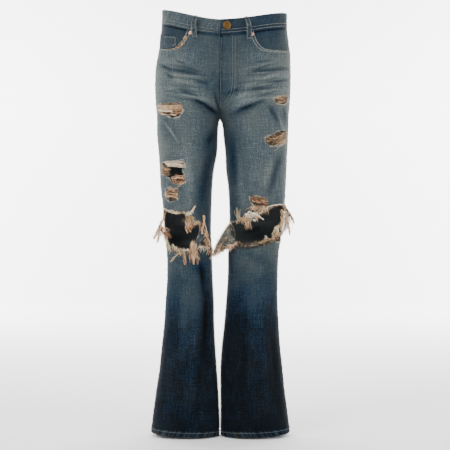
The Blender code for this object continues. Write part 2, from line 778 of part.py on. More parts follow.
def build_waistband(group, denim):
    """One strip from the fly's edge round the wearer's left, the back and the right, its end lapped under."""
    from_centre = np.linspace(1, 0, BAND_COLUMNS + 1)
    from_side = from_centre[::-1]
    stops = [(LEFT, FRONT, share, 0.0) for share in from_centre]
    stops += [(LEFT, BACK, share, 0.0) for share in from_side[1:]]
    stops += [(RIGHT, BACK, share, 0.0) for share in from_centre[1:]]
    stops += [(RIGHT, FRONT, share, max(0.0, (share - LAP_FROM) / (1 - LAP_FROM))) for share in from_side[1:]]
    stops += [(LEFT, FRONT, share, 1.0) for share in np.linspace(1, LAP_TO, LAP_COLUMNS + 1)[1:]]
    rows = np.linspace(0, 1, BAND_ROWS + 1)
    columns = []
    for side, face, share, under in stops:
        drops = waist_drop(side, face, share) + BAND_DEPTH * rows
        sink = (BAND_THICK + LAP_GAP) * under * under * (3 - 2 * under)
        columns.append(cloth_point(side, face, drops, share, BAND_LIFT - sink))
    points = np.array(columns).transpose(1, 0, 2)
    band = add_object("waistband", turn_out(loft("waistband", points), (0, 0)), group, denim)
    solidify(band, BAND_THICK)
    return band


def build_hem(side, group, denim):
    leg = LEG_NAMES[side]
    front, back = panel_shares(FRONT_COLUMNS), panel_shares(BACK_COLUMNS)
    front[0] = back[0] = 0
    front[-1] = back[-1] = 1
    steps = np.array([0, 0.5, 1])[:, None]
    rows = []
    for face, shares in ((FRONT, front), (BACK, back[::-1][1:-1])):
        drops = hem_foot(shares)[None, :] - HEM_DEPTH * (1 - steps)
        rows.append(cloth_point(side, face, drops, shares[None, :], HEM_LIFT))
    mesh = turn_out(loft("hem_" + leg, np.concatenate(rows, axis=1), closed=True), leg_axis(side))
    solidify(add_object("hem_" + leg, mesh, group, denim), HEM_THICK)


def build_loop(name, side, face, x, lean, group, denim):
    """A flat strap tacked at both ends that bridges the waistband on a belt-wide gap."""
    shares = np.linspace(0, 1, 201)
    drops = waist_drop(side, face, shares) + BAND_DEPTH / 2
    row = cloth_point(side, face, drops, shares, BAND_LIFT)
    nearest = int(np.abs(row[:, 0] - x * MM).argmin())
    share = shares[nearest]
    middle = Vector(row[nearest])
    normal = Vector(cloth_point(side, face, drops[nearest], share, BAND_LIFT + MM)) - middle
    normal.z = 0
    normal.normalize()
    across = Vector((0, 0, 1)).cross(normal)
    top_drop = waist_drop(side, face, share)
    head = Vector(cloth_point(side, face, top_drop, share, BAND_LIFT))
    foot = Vector(cloth_point(side, face, top_drop + LOOP_LENGTH, share, 0))
    low = max(0.0, (head - middle).dot(normal)) + SEAM_GAP
    foot_low = max(low, (foot - middle).dot(normal) + SEAM_GAP)
    bend = LOOP_TACK + LOOP_RISE
    profile = (
        (0, low),
        (LOOP_TACK, low),
        (bend, low + LOOP_STAND),
        (LOOP_LENGTH - bend, low + LOOP_STAND),
        (LOOP_LENGTH - LOOP_TACK, foot_low),
        (LOOP_LENGTH, foot_low),
    )
    rows = []
    for down, out in profile:
        shift = lean * MM * (down / LOOP_LENGTH - 0.5)
        spot = middle + normal * out + Vector((0, 0, -top_drop - down - middle.z)) - across * shift * face
        rows.append([spot + across * LOOP_WIDTH / 2, spot - across * LOOP_WIDTH / 2])
    mesh = loft(name, np.array(rows))
    if sum((p.normal for p in mesh.polygons), Vector()).dot(normal) > 0:
        mesh.flip_normals()
    solidify(add_object(name, mesh, group, denim), LOOP_THICK)


def build_turned(name, profile, spot, normal, group, finish):
    """A small round piece turned about its own axis from a profile of radius and height."""
    mesh = bpy.data.meshes.new(name)
    mesh.from_pydata([(r, 0, h) for r, h in profile], [(k, k + 1) for k in range(len(profile) - 1)], [])
    made = add_object(name, mesh, group, finish)
    made.location = spot
    made.rotation_mode = "QUATERNION"
    made.rotation_quaternion = normal.to_track_quat("Z", "Y")
    screw = made.modifiers.new("Turned", "SCREW")
    screw.steps = screw.render_steps = ROUND_STEPS
    screw.use_merge_vertices = True
    screw.merge_threshold = 1e-5
    return made


def seat(mesh, x, z):
    """Where the sight line through x, z meets a mesh, and the way that its face looks."""
    tree = BVHTree.FromPolygons([v.co for v in mesh.vertices], [p.vertices for p in mesh.polygons])
    eye = Vector((0, -EYE_DISTANCE, -EYE_DROP))
    spot, normal, _, _ = tree.ray_cast(eye, Vector((x * MM, 0, z * MM)) - eye)
    return spot, normal


def build_metal(band, fronts, group, brass, copper):
    spot, normal = seat(band.data, *BUTTON_AT)
    profile = (
        (0, BUTTON_HEIGHT * 0.72),
        (BUTTON_RADIUS * 0.5, BUTTON_HEIGHT * 0.74),
        (BUTTON_RADIUS * 0.72, BUTTON_HEIGHT * 0.86),
        (BUTTON_RADIUS * 0.86, BUTTON_HEIGHT),
        (BUTTON_RADIUS, BUTTON_HEIGHT * 0.8),
        (BUTTON_RADIUS * 0.96, BUTTON_HEIGHT * 0.52),
        (BUTTON_RADIUS * 0.4, BUTTON_HEIGHT * 0.4),
        (BUTTON_RADIUS * 0.38, 0),
        (0, 0),
    )
    build_turned("button", profile, spot + normal * SEAM_GAP, normal, group, brass)
    for side, aim in RIVETS_AT.items():
        spot, normal = seat(fronts[side].data, *aim)
        profile = (
            (0, RIVET_HEIGHT),
            (RIVET_RADIUS * 0.3, RIVET_HEIGHT * 0.95),
            (RIVET_RADIUS * 0.5, RIVET_HEIGHT * 0.6),
            (RIVET_RADIUS * 0.85, RIVET_HEIGHT * 0.5),
            (RIVET_RADIUS, 0),
            (0, 0),
        )
        build_turned("rivet_" + LEG_NAMES[side], profile, spot + normal * SEAM_GAP, normal, group, copper)


def grow_strand(shape, face, stations, halves, wide_way, thick_way):
    """Draws a strand out of one face of its strip, through the stations, narrowing as it goes."""
    for spot, (wide, thick) in zip(stations, halves):
        face = bmesh.ops.extrude_discrete_faces(shape, faces=[face])["faces"][0]
        corners = sorted(face.verts, key=lambda vert: vert.co.dot(wide_way))
        for pair, across in ((corners[:2], -wide), (corners[2:], wide)):
            pair.sort(key=lambda vert: vert.co.dot(thick_way))
            for vert, out in zip(pair, (-thick, thick)):
                vert.co = spot + wide_way * across + thick_way * out


def resample(route, count):
    points = np.array(route, dtype=float)
    lengths = np.concatenate([[0], np.cumsum(np.linalg.norm(np.diff(points[:, :2], axis=0), axis=1))])
    at = np.linspace(0, lengths[-1], count + 1)
    return np.stack([smooth(at, lengths, points[:, k]) for k in range(points.shape[1])], axis=1)


def strip_mesh(centres, normals, width):
    """A bar of square section along the centres, with the faces on its two long narrow sides kept apart."""
    shape = bmesh.new()
    rings = []
    for k, (centre, normal) in enumerate(zip(centres, normals)):
        ahead = (centres[min(k + 1, len(centres) - 1)] - centres[max(k - 1, 0)]).normalized()
        beside = normal.cross(ahead).normalized() * width / 2
        out = normal * FRAY_THICK / 2
        corners = (centre + beside + out, centre - beside + out, centre - beside - out, centre + beside - out)
        rings.append([shape.verts.new(c) for c in corners])
    sides = {"plus": [], "minus": []}
    for near, far in zip(rings, rings[1:]):
        for k in range(4):
            made = shape.faces.new((near[k], near[(k + 1) % 4], far[(k + 1) % 4], far[k]))
            if k == 1:
                sides["minus"].append(made)
            if k == 3:
                sides["plus"].append(made)
    shape.faces.new(rings[0])
    shape.faces.new(rings[-1][::-1])
    bmesh.ops.recalc_face_normals(shape, faces=shape.faces)
    return shape, sides


def build_fray(name, tuft, spot_at, group, finish):
    """A narrow strip just inside a torn edge, with a strand of loosened weft from each of its cells."""
    chance = random.Random(FRAY_SEED + len(name) * 31 + tuft["cells"])
    spots = resample(tuft["route"], tuft["cells"])
    centres = [spot_at(x, z, lift) for x, z, lift in spots]
    raised = [spot_at(x, z, lift + 1) for x, z, lift in spots]
    normals = [(above - centre).normalized() for above, centre in zip(raised, centres)]
    shape, sides = strip_mesh(centres, normals, tuft["width"] * MM)
    aim = Vector((tuft["toward"][0], 0, tuft["toward"][1])).normalized()
    faces = max(sides.values(), key=lambda side_faces: sum(f.normal.dot(aim) for f in side_faces))
    apart = Vector((-aim.z, 0, aim.x))
    if apart.dot(centres[-1] - centres[0]) < 0:
        apart = -apart
    fan = np.linspace(-FRAY_FAN, FRAY_FAN, tuft["cells"])
    for k, face in enumerate(faces):
        x, z, lift = (spots[k] + spots[k + 1]) / 2
        length = chance.uniform(*tuft["reach"])
        way = aim + apart * fan[k]
        rise = tuft["rise"] * chance.uniform(0.5, 1.0)
        stations = []
        for part in FRAY_STATIONS:
            far = tuft["width"] / 2 + length * part
            wave = FRAY_WAVE * math.sin(part * 5)
            out = lift + rise * math.sin(part * math.pi * 0.75)
            stations.append(spot_at(x + way.x * far - way.z * wave, z + way.z * far + way.x * wave, out))
        cell = (centres[k + 1] - centres[k]).length / 2
        halves = [(min(cell, FRAY_WIDEST) * taper, FRAY_THICK / 2 * taper) for taper in FRAY_TAPER]
        along = (centres[k + 1] - centres[k]).normalized()
        outward = normals[k] + normals[k + 1]
        outward -= along * outward.dot(along)
        grow_strand(shape, face, stations, halves, along, outward.normalized())
    bmesh.ops.triangulate(shape, faces=shape.faces[:])
    mesh = bpy.data.meshes.new(name)
    shape.to_mesh(mesh)
    shape.free()
    return add_object(name, mesh, group, finish)


def flap_spot(x, z, lift):
    """A point at x, z in line with the torn tongue, moved forward by lift."""
    table = np.array(sorted(FLAP_ROWS), dtype=float)
    y = np.interp(x, table[:, FLAP_COLUMNS.index("x")], table[:, FLAP_COLUMNS.index("y")])
    return Vector((x, y + CLOTH / MM / 2 - lift, z)) * MM


def build_flap(group, denim, weft):
    """The torn tongue: a ragged sheet from the left knee's inner edge, with a fringe on its lower edge."""
    steps = np.linspace(0, 1, len(FLAP_CURL))
    rows = []
    for row in FLAP_ROWS:
        at = dict(zip(FLAP_COLUMNS, row))
        heights = at["z_upper"] + (at["z_lower"] - at["z_upper"]) * steps
        rows.append([(at["x"] * MM, (at["y"] - curl) * MM, z * MM) for z, curl in zip(heights, FLAP_CURL)])
    mesh = loft("flap_knee_left", np.array(rows))
    if sum(p.normal.y for p in mesh.polygons) > 0:
        mesh.flip_normals()
    solidify(add_object("flap_knee_left", mesh, group, denim), CLOTH)
    build_fray("fray_flap_left", dict(zip(FRAY_COLUMNS, FLAP_FRINGE)), flap_spot, group, weft)


def build():
    for old in list(bpy.data.objects):
        bpy.data.objects.remove(old)
    group, cutters = collection("Ripped jeans"), collection("Cutters")
    denim = material("Washed denim", "#4d5d68", 0.85)
    dark = material("Unfaded denim", "#24323f", 0.85)
    weft = material("Frayed weft", "#b89f83", 0.9)
    brass = material("Aged brass", "#8a7440", 0.4, 1.0)
    copper = material("Copper", "#b08068", 0.35, 1.0)
    band = build_waistband(group, denim)
    fronts = {}
    for side in (RIGHT, LEFT):
        fronts[side] = build_front(side, group, cutters, denim)
        build_back(side, group, denim)
        build_pockets(side, group, cutters, denim, dark)
        build_hem(side, group, dark)
    build_fly(group, cutters, denim)
    for name, row in LOOP_ROWS.items():
        build_loop(name, group=group, denim=denim, **dict(zip(LOOP_COLUMNS, row)))
    build_metal(band, fronts, group, brass, copper)
    for name, row in FRAY_ROWS.items():
        tuft = dict(zip(FRAY_COLUMNS, row))
        build_fray(name, tuft, partial(place, tuft["side"]), group, weft)
    build_flap(group, denim, weft)


build()
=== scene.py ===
# %% [markdown]
# # Ripped bootcut jeans
# These are worn-in denim jeans, filled out as if worn and torn at the thighs and knees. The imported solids
# say where each sewn piece lies and how big it is. This lesson dresses them: each cloth piece becomes a thin
# two-sided shell on its solid's own form, with creases, weave, wear, stitches and loosened threads.
#
# The solids are loaded first, because every piece rides on them.

# %% Load the solids
import math

import bpy
import numpy as np
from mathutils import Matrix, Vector, noise
from mathutils.bvhtree import BVHTree


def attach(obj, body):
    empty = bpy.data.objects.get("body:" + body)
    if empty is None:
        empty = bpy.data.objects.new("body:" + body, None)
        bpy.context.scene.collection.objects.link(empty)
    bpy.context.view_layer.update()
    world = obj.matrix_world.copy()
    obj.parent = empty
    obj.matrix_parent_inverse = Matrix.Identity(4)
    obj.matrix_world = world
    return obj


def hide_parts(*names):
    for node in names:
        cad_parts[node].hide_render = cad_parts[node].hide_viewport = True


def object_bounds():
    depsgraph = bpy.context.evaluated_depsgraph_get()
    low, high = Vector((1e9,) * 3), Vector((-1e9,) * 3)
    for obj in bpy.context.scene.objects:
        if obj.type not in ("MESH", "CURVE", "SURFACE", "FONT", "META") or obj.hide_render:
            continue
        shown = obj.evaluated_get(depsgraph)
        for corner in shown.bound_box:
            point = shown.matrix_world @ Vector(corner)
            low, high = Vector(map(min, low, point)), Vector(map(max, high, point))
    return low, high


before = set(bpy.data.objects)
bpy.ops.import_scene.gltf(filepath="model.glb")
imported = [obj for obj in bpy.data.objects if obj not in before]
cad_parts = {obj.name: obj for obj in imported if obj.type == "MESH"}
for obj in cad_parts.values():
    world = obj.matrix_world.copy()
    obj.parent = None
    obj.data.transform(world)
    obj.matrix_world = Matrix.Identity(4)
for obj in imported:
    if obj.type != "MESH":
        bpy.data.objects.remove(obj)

MM = 0.001
CAD_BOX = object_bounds()
RIGHT, LEFT = -1, 1  # the wearer's legs, as the sign of X
FRONT, BACK = -1, 1  # the faces, as the sign of Y
LEG_NAMES = {RIGHT: "right", LEFT: "left"}
print("nodes", len(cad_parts), "box", [[round(v, 3) for v in corner] for corner in CAD_BOX])

# %% [markdown]
# ## The form under the cloth
# Jeans are cut flat and take their form from the wearer. The solids were made from a table of sections, one
# for each height: how far each leg reaches out and in, how deep it is in front and behind, and how square
# its outline is. A cloth simulation would leave that form, so the same table is used again and the creases
# are put on it one by one. Heights are drops below the waist, and all rows are millimetres.

# %% Sections
SECTION_COLUMNS = (
    "drop", "right_outer", "right_inner", "left_outer", "left_inner", "front", "back", "seam_y", "power",
)
SECTION_ROWS = (
    (-20, 144, 0, 168, 0, 95, 97, 0, 2.40),
    (45, 146, 0, 167, 0, 99, 104, 0, 2.40),
    (60, 149, 0, 169, 0, 100, 107, 0, 2.38),
    (90, 152, 0, 174, 0, 102, 113, 1, 2.34),
    (135, 160, 0, 176, 0, 104, 121, 2, 2.28),
    (180, 162, 0, 176, 0, 105, 125, 3, 2.22),
    (225, 160, 0, 174, 0, 103, 120, 4, 2.15),
    (262, 157, 0, 171, 0, 98, 108, 5, 2.10),
    (276, 157, 4, 171, 6, 96, 104, 5, 2.08),
    (300, 157, 6, 170, 9, 92, 97, 5, 2.06),
    (345, 153, 8, 168, 14, 86, 89, 5, 2.04),
    (390, 150, 16, 166, 16, 82, 84, 4, 2.04),
    (430, 148, 20, 164, 21, 79, 80, 3, 2.04),
    (480, 142, 22, 161, 24, 73, 74, 2, 2.04),
    (540, 137, 23, 154, 24, 66, 66, 1, 2.04),
    (600, 132, 21, 146, 21, 62, 63, 1, 2.04),
    (660, 132, 19, 144, 20, 60, 66, 4, 2.04),
    (720, 136, 16, 144, 16, 60, 68, 7, 2.04),
    (780, 140, 15, 147, 11, 60, 66, 9, 2.04),
    (825, 145, 13, 150, 6, 60, 63, 10, 2.04),
    (885, 151, 9, 156, 2, 60, 61, 10, 2.04),
    (945, 160, 5, 162, 2, 60, 60, 10, 2.04),
    (1005, 168, 2, 170, 2, 61, 61, 10, 2.04),
    (1060, 174, 2, 176, 2, 62, 62, 10, 2.04),
)
SECTION_TABLE = np.array(SECTION_ROWS, dtype=float)
FORK_X = -12.5 * MM  # the legs part here
CENTRE_LEAN = 5 * MM  # the centre seam leans this far towards the wearer's left at the waist
CROTCH_DROP = 262 * MM
SPLIT_DROP = 120 * MM  # above it both halves share one round section
EASE_FROM, EASE_TO, EASE_POWER = 185 * MM, 240 * MM, 3  # where the widths change over to those of the legs
HALF_SHIFT = 0.2 * MM  # each half stands this far off the centre plane
ARC_SAMPLES = 72


def ease(t):
    """From 0 to 1, slow at both ends."""
    return t * t * (3 - 2 * t)


def smooth(at, knots, values):
    """A cubic through the knots, each knot's slope taken from its two neighbours."""
    slopes = np.gradient(values, knots)
    i = np.clip(np.searchsorted(knots, at, side="right") - 1, 0, len(knots) - 2)
    step = knots[i + 1] - knots[i]
    t = np.clip((at - knots[i]) / step, 0, 1)
    rise = ease(t)
    bend = step * slopes[i] * t * (1 - t) ** 2 - step * slopes[i + 1] * t * t * (1 - t)
    return values[i] * (1 - rise) + values[i + 1] * rise + bend


def column(name, drop):
    """One column of the section table at the given drops, in metres but for the power."""
    unit = 1 if name == "power" else MM
    return smooth(drop, SECTION_TABLE[:, 0] * MM, SECTION_TABLE[:, SECTION_COLUMNS.index(name)] * unit)


def centre_x(drop):
    """Where the centre plane is."""
    return FORK_X + CENTRE_LEAN * np.clip(1 - drop / CROTCH_DROP, 0, 1.2)


reach = [round(float(column(leg + "_outer", 0) / MM)) for leg in LEG_NAMES.values()]
print("waist, right and left of the fork in mm:", reach)

# %% [markdown]
# A place on the cloth is named by its half, its face, its drop and its share: 0 at the side seam and 1 at
# the centre seam or inseam. Each half is a superellipse tube. Above the crotch it is cut off at the centre
# plane, and its middle moves out as the halves part, which draws the rise seam's curve.

# %% Bare form
def bare_point(side, face, drop, share):
    """The smooth form without creases."""
    leg = LEG_NAMES[side]
    power = column("power", drop)
    outer = column(leg + "_outer", drop) - side * (centre_x(drop) - FORK_X)
    inner = column(leg + "_inner", drop)
    parted = np.clip((drop - SPLIT_DROP) / (CROTCH_DROP - SPLIT_DROP), 0, 1)
    torso = drop < CROTCH_DROP
    half_width = np.where(torso, outer / (1 + parted), (outer - inner) / 2)
    middle = np.where(torso, parted * half_width, (outer + inner) / 2)
    depth = column("front" if face == FRONT else "back", drop)
    last = np.arccos(-(parted ** (power / 2)))
    angles = np.linspace(0, np.pi, ARC_SAMPLES)[None, :]

    def across(angle):
        turn = np.cos(angle)
        return np.sign(turn) * np.abs(turn) ** (2 / power[:, None]) * half_width[:, None]

    def out(angle):
        return np.abs(np.sin(angle)) ** (2 / power[:, None]) * depth[:, None]

    steps = np.hypot(np.diff(across(angles)), np.diff(out(angles)))
    lengths = np.concatenate([np.zeros((len(drop), 1)), np.cumsum(steps, axis=1)], axis=1)
    lengths /= lengths[:, -1:]
    rows = np.arange(len(drop))
    place_last = last / np.pi * (ARC_SAMPLES - 1)
    cell = np.clip(place_last.astype(int), 0, ARC_SAMPLES - 2)
    kept = lengths[rows, cell] + (place_last - cell) * (lengths[rows, cell + 1] - lengths[rows, cell])
    near_fork = ease(np.clip((drop - EASE_FROM) / (EASE_TO - EASE_FROM), 0, 1))
    eased = share * (1 - (1 - kept) * share**EASE_POWER)
    aim = share * kept * (1 - near_fork) + eased * near_fork
    cell = np.clip((lengths < aim[:, None]).sum(axis=1) - 1, 0, ARC_SAMPLES - 2)
    low, high = lengths[rows, cell], lengths[rows, cell + 1]
    angle = (cell + (aim - low) / np.maximum(high - low, 1e-9)) * np.pi / (ARC_SAMPLES - 1)
    x = centre_x(drop) + side * (HALF_SHIFT + middle + across(angle[:, None])[:, 0])
    y = column("seam_y", drop) + face * out(angle[:, None])[:, 0]
    return np.stack([x, y, -drop], axis=1)


knee = np.array([540 * MM])
print("knee front in mm:", (bare_point(LEFT, FRONT, knee, np.array([0.5])) / MM).round(1).tolist())

# %% [markdown]
# ## Creases
# Denim keeps sharp whiskers at the groin, honeycombs behind the knee and long soft folds down a flared calf.
# Each is a straight trough, depth below 0, or a ridge. Those on the front are drawn as the eye sees them from
# straight ahead, on the plane y = 0. The first group is in the solids too, and the finer group is only here.
# The finest whiskers at the hips have no places of their own to copy, so a seeded loop scatters them.

# %% Crease rows
EYE_DISTANCE, EYE_DROP = 2.8, 0.5275
FOLD_ROWS = {  # x0, z0, x1, z1, width and depth of each, in mm
    FRONT: [
        (-92, -210, -24, -250, 8, -4.4),
        (96, -222, 10, -254, 9, -4.0),
        (-88, -192, -20, -230, 13, 3.0),
        (92, -204, 6, -232, 13, 2.6),
        (-152, -130, -60, -142, 12, -1.8),
        (-146, -152, -40, -172, 12, 1.7),
        (60, -146, 150, -132, 12, -1.8),
        (34, -176, 146, -158, 12, 1.7),
        (128, -240, 152, -288, 9, -3.0),
        (-150, -276, -116, -322, 12, -3.0),
        (-48, -640, -40, -960, 15, -6.0),
        (-74, -690, -84, -1030, 17, 3.5),
        (-120, -660, -136, -980, 16, -3.5),
        (40, -650, 26, -900, 15, -4.5),
        (70, -700, 74, -1030, 18, 3.5),
        (110, -640, 132, -960, 16, -4.0),
        (-96, -610, -60, -650, 13, -3.0),
        (52, -600, 112, -622, 13, -3.0),
    ],
    BACK: [
        (-118, -272, -30, -290, 18, -4.5),
        (104, -276, 10, -292, 18, -4.5),
        (-132, -556, -44, -540, 15, -5.0),
        (26, -540, 124, -560, 15, -5.0),
        (-128, -592, -52, -610, 15, -4.0),
        (30, -612, 118, -590, 15, -4.0),
        (-60, -660, -52, -1000, 17, -4.5),
        (44, -660, 36, -1000, 17, -4.5),
        (-112, -640, -128, -980, 18, 3.5),
        (96, -640, 112, -980, 18, 3.5),
    ],
}
FINE_ROWS = {
    FRONT: [
        (-76, -214, -48, -227, 4.5, -3.2),
        (-52, -225, -17, -251, 5, -3.4),
        (34, -241, 72, -226, 4.5, -2.8),
        (66, -228, 98, -215, 4, -2.0),
        (-26, -196, -16, -240, 3.4, -2.1),
        (-163, -127, -138, -138, 3.4, -2.1),
        (-140, -137, -52, -153, 3.4, -2.1),
        (-150, -120, -96, -127, 5, 1.0),
        (-122, -117, -98, -125, 2.7, -1.7),
        (-78, -168, -44, -172, 3.1, -1.8),
        (-150, -148, -128, -160, 3.4, -1.7),
        (-120, -158, -60, -168, 5, 0.3),
        (-120, -186, -66, -196, 4.1, -1.5),
        (70, -143, 160, -137, 3.1, -2.0),
        (78, -151, 150, -147, 5, 1.1),
        (100, -172, 157, -165, 3.1, -2.0),
        (3, -200, 38, -186, 4.5, -1.8),
        (20, -212, 60, -196, 5, 1.0),
        (60, -190, 120, -182, 4.1, -1.4),
        (112, -230, 128, -262, 5, -1.8),
        (134, -246, 150, -300, 4, 1.6),
        (146, -232, 156, -276, 4, -2.0),
        (-152, -270, -118, -320, 3.5, 1.8),
        (110, -448, 142, -345, 8, -1.7),
        (96, -440, 118, -360, 9, 0.8),
        (-66, -500, -28, -320, 13, -1.9),
        (-44, -330, -26, -290, 9, -2.0),
        (14, -300, 24, -420, 10, -2.0),
        (30, -350, 44, -500, 11, 0.9),
        (-98, -330, -88, -470, 13, 0.8),
        (-62, -600, -50, -700, 7, -2.4),
        (-42, -700, -54, -860, 6, -2.6),
        (-60, -820, -70, -1000, 8, -2.0),
        (-34, -760, -30, -960, 7, 2.0),
        (-100, -700, -112, -880, 10, 1.6),
        (-130, -800, -148, -1010, 8, 1.6),
        (12, -590, 18, -660, 6, -1.6),
        (52, -740, 44, -980, 8, -2.0),
        (92, -760, 104, -1000, 9, 1.8),
        (118, -800, 136, -1010, 7, -1.8),
        (132, -700, 150, -960, 6, 1.2),
    ],
    BACK: [
        (-104, -150, -30, -176, 9, 1.6),
        (24, -178, 92, -152, 9, 1.6),
        (-70, -262, -22, -276, 7, -2.6),
        (2, -278, 60, -262, 7, -2.6),
        (-126, -300, -50, -322, 9, 1.8),
        (24, -322, 112, -302, 9, 1.8),
        (-130, -338, -70, -350, 8, -1.6),
        (46, -352, 116, -336, 8, -1.6),
        (-128, -520, -56, -508, 7, 1.8),
        (32, -510, 118, -522, 7, 1.8),
        (-120, -575, -60, -566, 6, 2.0),
        (34, -570, 110, -580, 6, 2.0),
        (-116, -536, -76, -546, 5, -1.8),
        (48, -548, 92, -536, 5, -1.8),
        (-118, -628, -70, -640, 8, 1.6),
        (44, -640, 96, -626, 8, 1.6),
        (-84, -700, -92, -940, 8, -1.8),
        (70, -700, 78, -940, 8, -1.8),
    ],
}
WHISKERS, WHISKER_TOP, WHISKER_LOW = 17, -112, -206  # how many on each leg, and their outer ends' heights
WHISKER_FAR, WHISKER_NEAR, WHISKER_FALL = (110, 160), (35, 90), (4, 18)  # mm to each end, and down
WHISKER_TROUGH, WHISKER_RIDGE, WHISKER_WIDE = (-1.6, -0.7), (0.5, 0.9), (1.7, 2.6)
chance = np.random.default_rng(3)
for k in range(2 * WHISKERS):
    side = (RIGHT, LEFT)[k % 2]
    at = WHISKER_TOP + (WHISKER_LOW - WHISKER_TOP) * (k // 2 + chance.uniform()) / WHISKERS
    far, near, fall = (chance.uniform(*ends) for ends in (WHISKER_FAR, WHISKER_NEAR, WHISKER_FALL))
    depth = chance.uniform(*(WHISKER_TROUGH if k % 3 else WHISKER_RIDGE))
    FINE_ROWS[FRONT].append((side * near, at - fall, side * far, at, chance.uniform(*WHISKER_WIDE), depth))
CREASE_SEAM_SHARE = 0.06  # creases fade out over this share of a panel's width beside its seams
CREASE_TOP, CREASE_TOP_RUN = 75 * MM, 30 * MM
CREASE_END = 0.35  # what is left of a crease's depth at its two ends
NEAR_SHARE, NEAR_DROP = 0.004, 0.5 * MM  # the steps over which the cloth's slope is taken


def seen(points):
    """Where points appear from the eye point, on the plane y = 0."""
    scale = EYE_DISTANCE / (EYE_DISTANCE + points[:, 1])
    return np.stack([points[:, 0] * scale, (points[:, 2] + EYE_DROP) * scale - EYE_DROP], axis=1)


def drawn(face, points):
    """Where points lie in the drawing of their face, in metres."""
    return seen(points) if face == FRONT else points[:, [0, 2]]


def bell(off, wide):
    """1 where off is 0, dying away over a width."""
    return np.exp(-((off / wide) ** 2))


def beside(flat, start, way):
    """For each place, its share of the way along a straight line and how far off the line it is."""
    share = np.clip(((flat - start) @ way) / (way @ way), 0, 1)
    return share, np.linalg.norm(flat - start - share[:, None] * way, axis=1)


def crease_height(face, flat, rows):
    """How far the rows' creases move the cloth out at the drawn places."""
    height = np.zeros(len(flat))
    for x0, z0, x1, z1, width, depth in rows[face]:
        start = np.array([x0, z0]) * MM
        share, off = beside(flat, start, np.array([x1, z1]) * MM - start)
        height += depth * MM * (CREASE_END + (1 - CREASE_END) * np.sin(np.pi * share)) * bell(off, width * MM)
    return height


for name, rows in (("folds", FOLD_ROWS), ("fine creases", FINE_ROWS)):
    print(name, "in front:", len(rows[FRONT]), "behind:", len(rows[BACK]))

# %% [markdown]
# The cloth stands on the bare form, moved along its normal by the creases and by any lift. Every later piece
# asks this one function where it lies, so a pocket, a stitch or a thread can't miss the cloth that carries it.

# %% Creased cloth
FINE_SHARE = 0.9  # of the fine creases' depth


def on_cloth(side, face, drop, share, lift=0.0, normals=False):
    """Points on the creased cloth, moved out by lift, with their normals if asked."""
    drop, share, lift = (np.asarray(v, dtype=float) for v in np.broadcast_arrays(drop, share, lift))
    shape = drop.shape
    drop, share, lift = drop.ravel(), np.clip(share.ravel(), 0, 1), lift.ravel()
    here = bare_point(side, face, drop, share)
    ahead = bare_point(side, face, drop, np.clip(share + NEAR_SHARE, 0, 1))
    behind = bare_point(side, face, drop, np.clip(share - NEAR_SHARE, 0, 1))
    below = bare_point(side, face, drop + NEAR_DROP, share)
    above = bare_point(side, face, drop - NEAR_DROP, share)
    normal = np.cross(ahead - behind, below - above) * (-side * face)
    normal /= np.linalg.norm(normal, axis=1)[:, None]
    seam = np.clip(np.minimum(share, 1 - share) / CREASE_SEAM_SHARE, 0, 1)
    top = np.clip((drop - CREASE_TOP) / CREASE_TOP_RUN, 0, 1)
    flat = drawn(face, here)
    height = crease_height(face, flat, FOLD_ROWS) + FINE_SHARE * crease_height(face, flat, FINE_ROWS)
    points = here + normal * (height * seam * top + lift)[:, None]
    if normals:
        return points.reshape(*shape, 3), normal.reshape(*shape, 3)
    return points.reshape(*shape, 3)


probe = on_cloth(LEFT, FRONT, 0.4, np.linspace(0, 1, 5))
print("left front at 400 mm down, from side seam to inseam:", (probe / MM).round(0).tolist())

# %% [markdown]
# ## Colours and nodes
# Colours are written as the hex codes that a screen shows. Blender's nodes want linear light, so one function
# turns them. One more adds a node: its settings are named, and its inputs are values or other nodes' outputs.
# It hands back one output, ready to be the next node's input.

# %% Colour and node helpers
def srgb(code):
    """A hex colour as linear values with full cover."""
    parts = [int(code[i : i + 2], 16) / 255 for i in (1, 3, 5)]
    return [p / 12.92 if p <= 0.04045 else ((p + 0.055) / 1.055) ** 2.4 for p in parts] + [1]


def set_inputs(tree, node, inputs):
    """Gives a node's inputs their values, or links them to other nodes' outputs."""
    for key, value in inputs.items():
        if isinstance(value, bpy.types.NodeSocket):
            tree.links.new(value, node.inputs[key])
        else:
            node.inputs[key].default_value = value


def add_node(tree, kind, inputs, stops=(), out=0, **settings):
    """A new node with its inputs, colour stops and settings. Gives one of its outputs."""
    node = tree.nodes.new("ShaderNode" + kind)
    for name, value in settings.items():
        setattr(node, name, value)
    for k, (place, code) in enumerate(stops):
        if k >= len(node.color_ramp.elements):
            node.color_ramp.elements.new(place)
        node.color_ramp.elements[k].position = place
        node.color_ramp.elements[k].color = srgb(code)
    set_inputs(tree, node, inputs)
    return node.outputs[out]


def new_finish(name, values):
    """A material, its node tree and its shader, with the values that are the same all over."""
    made = bpy.data.materials.new(name)
    made.use_nodes = True
    shader = made.node_tree.nodes["Principled BSDF"]
    set_inputs(made.node_tree, shader, values)
    return made, made.node_tree, shader
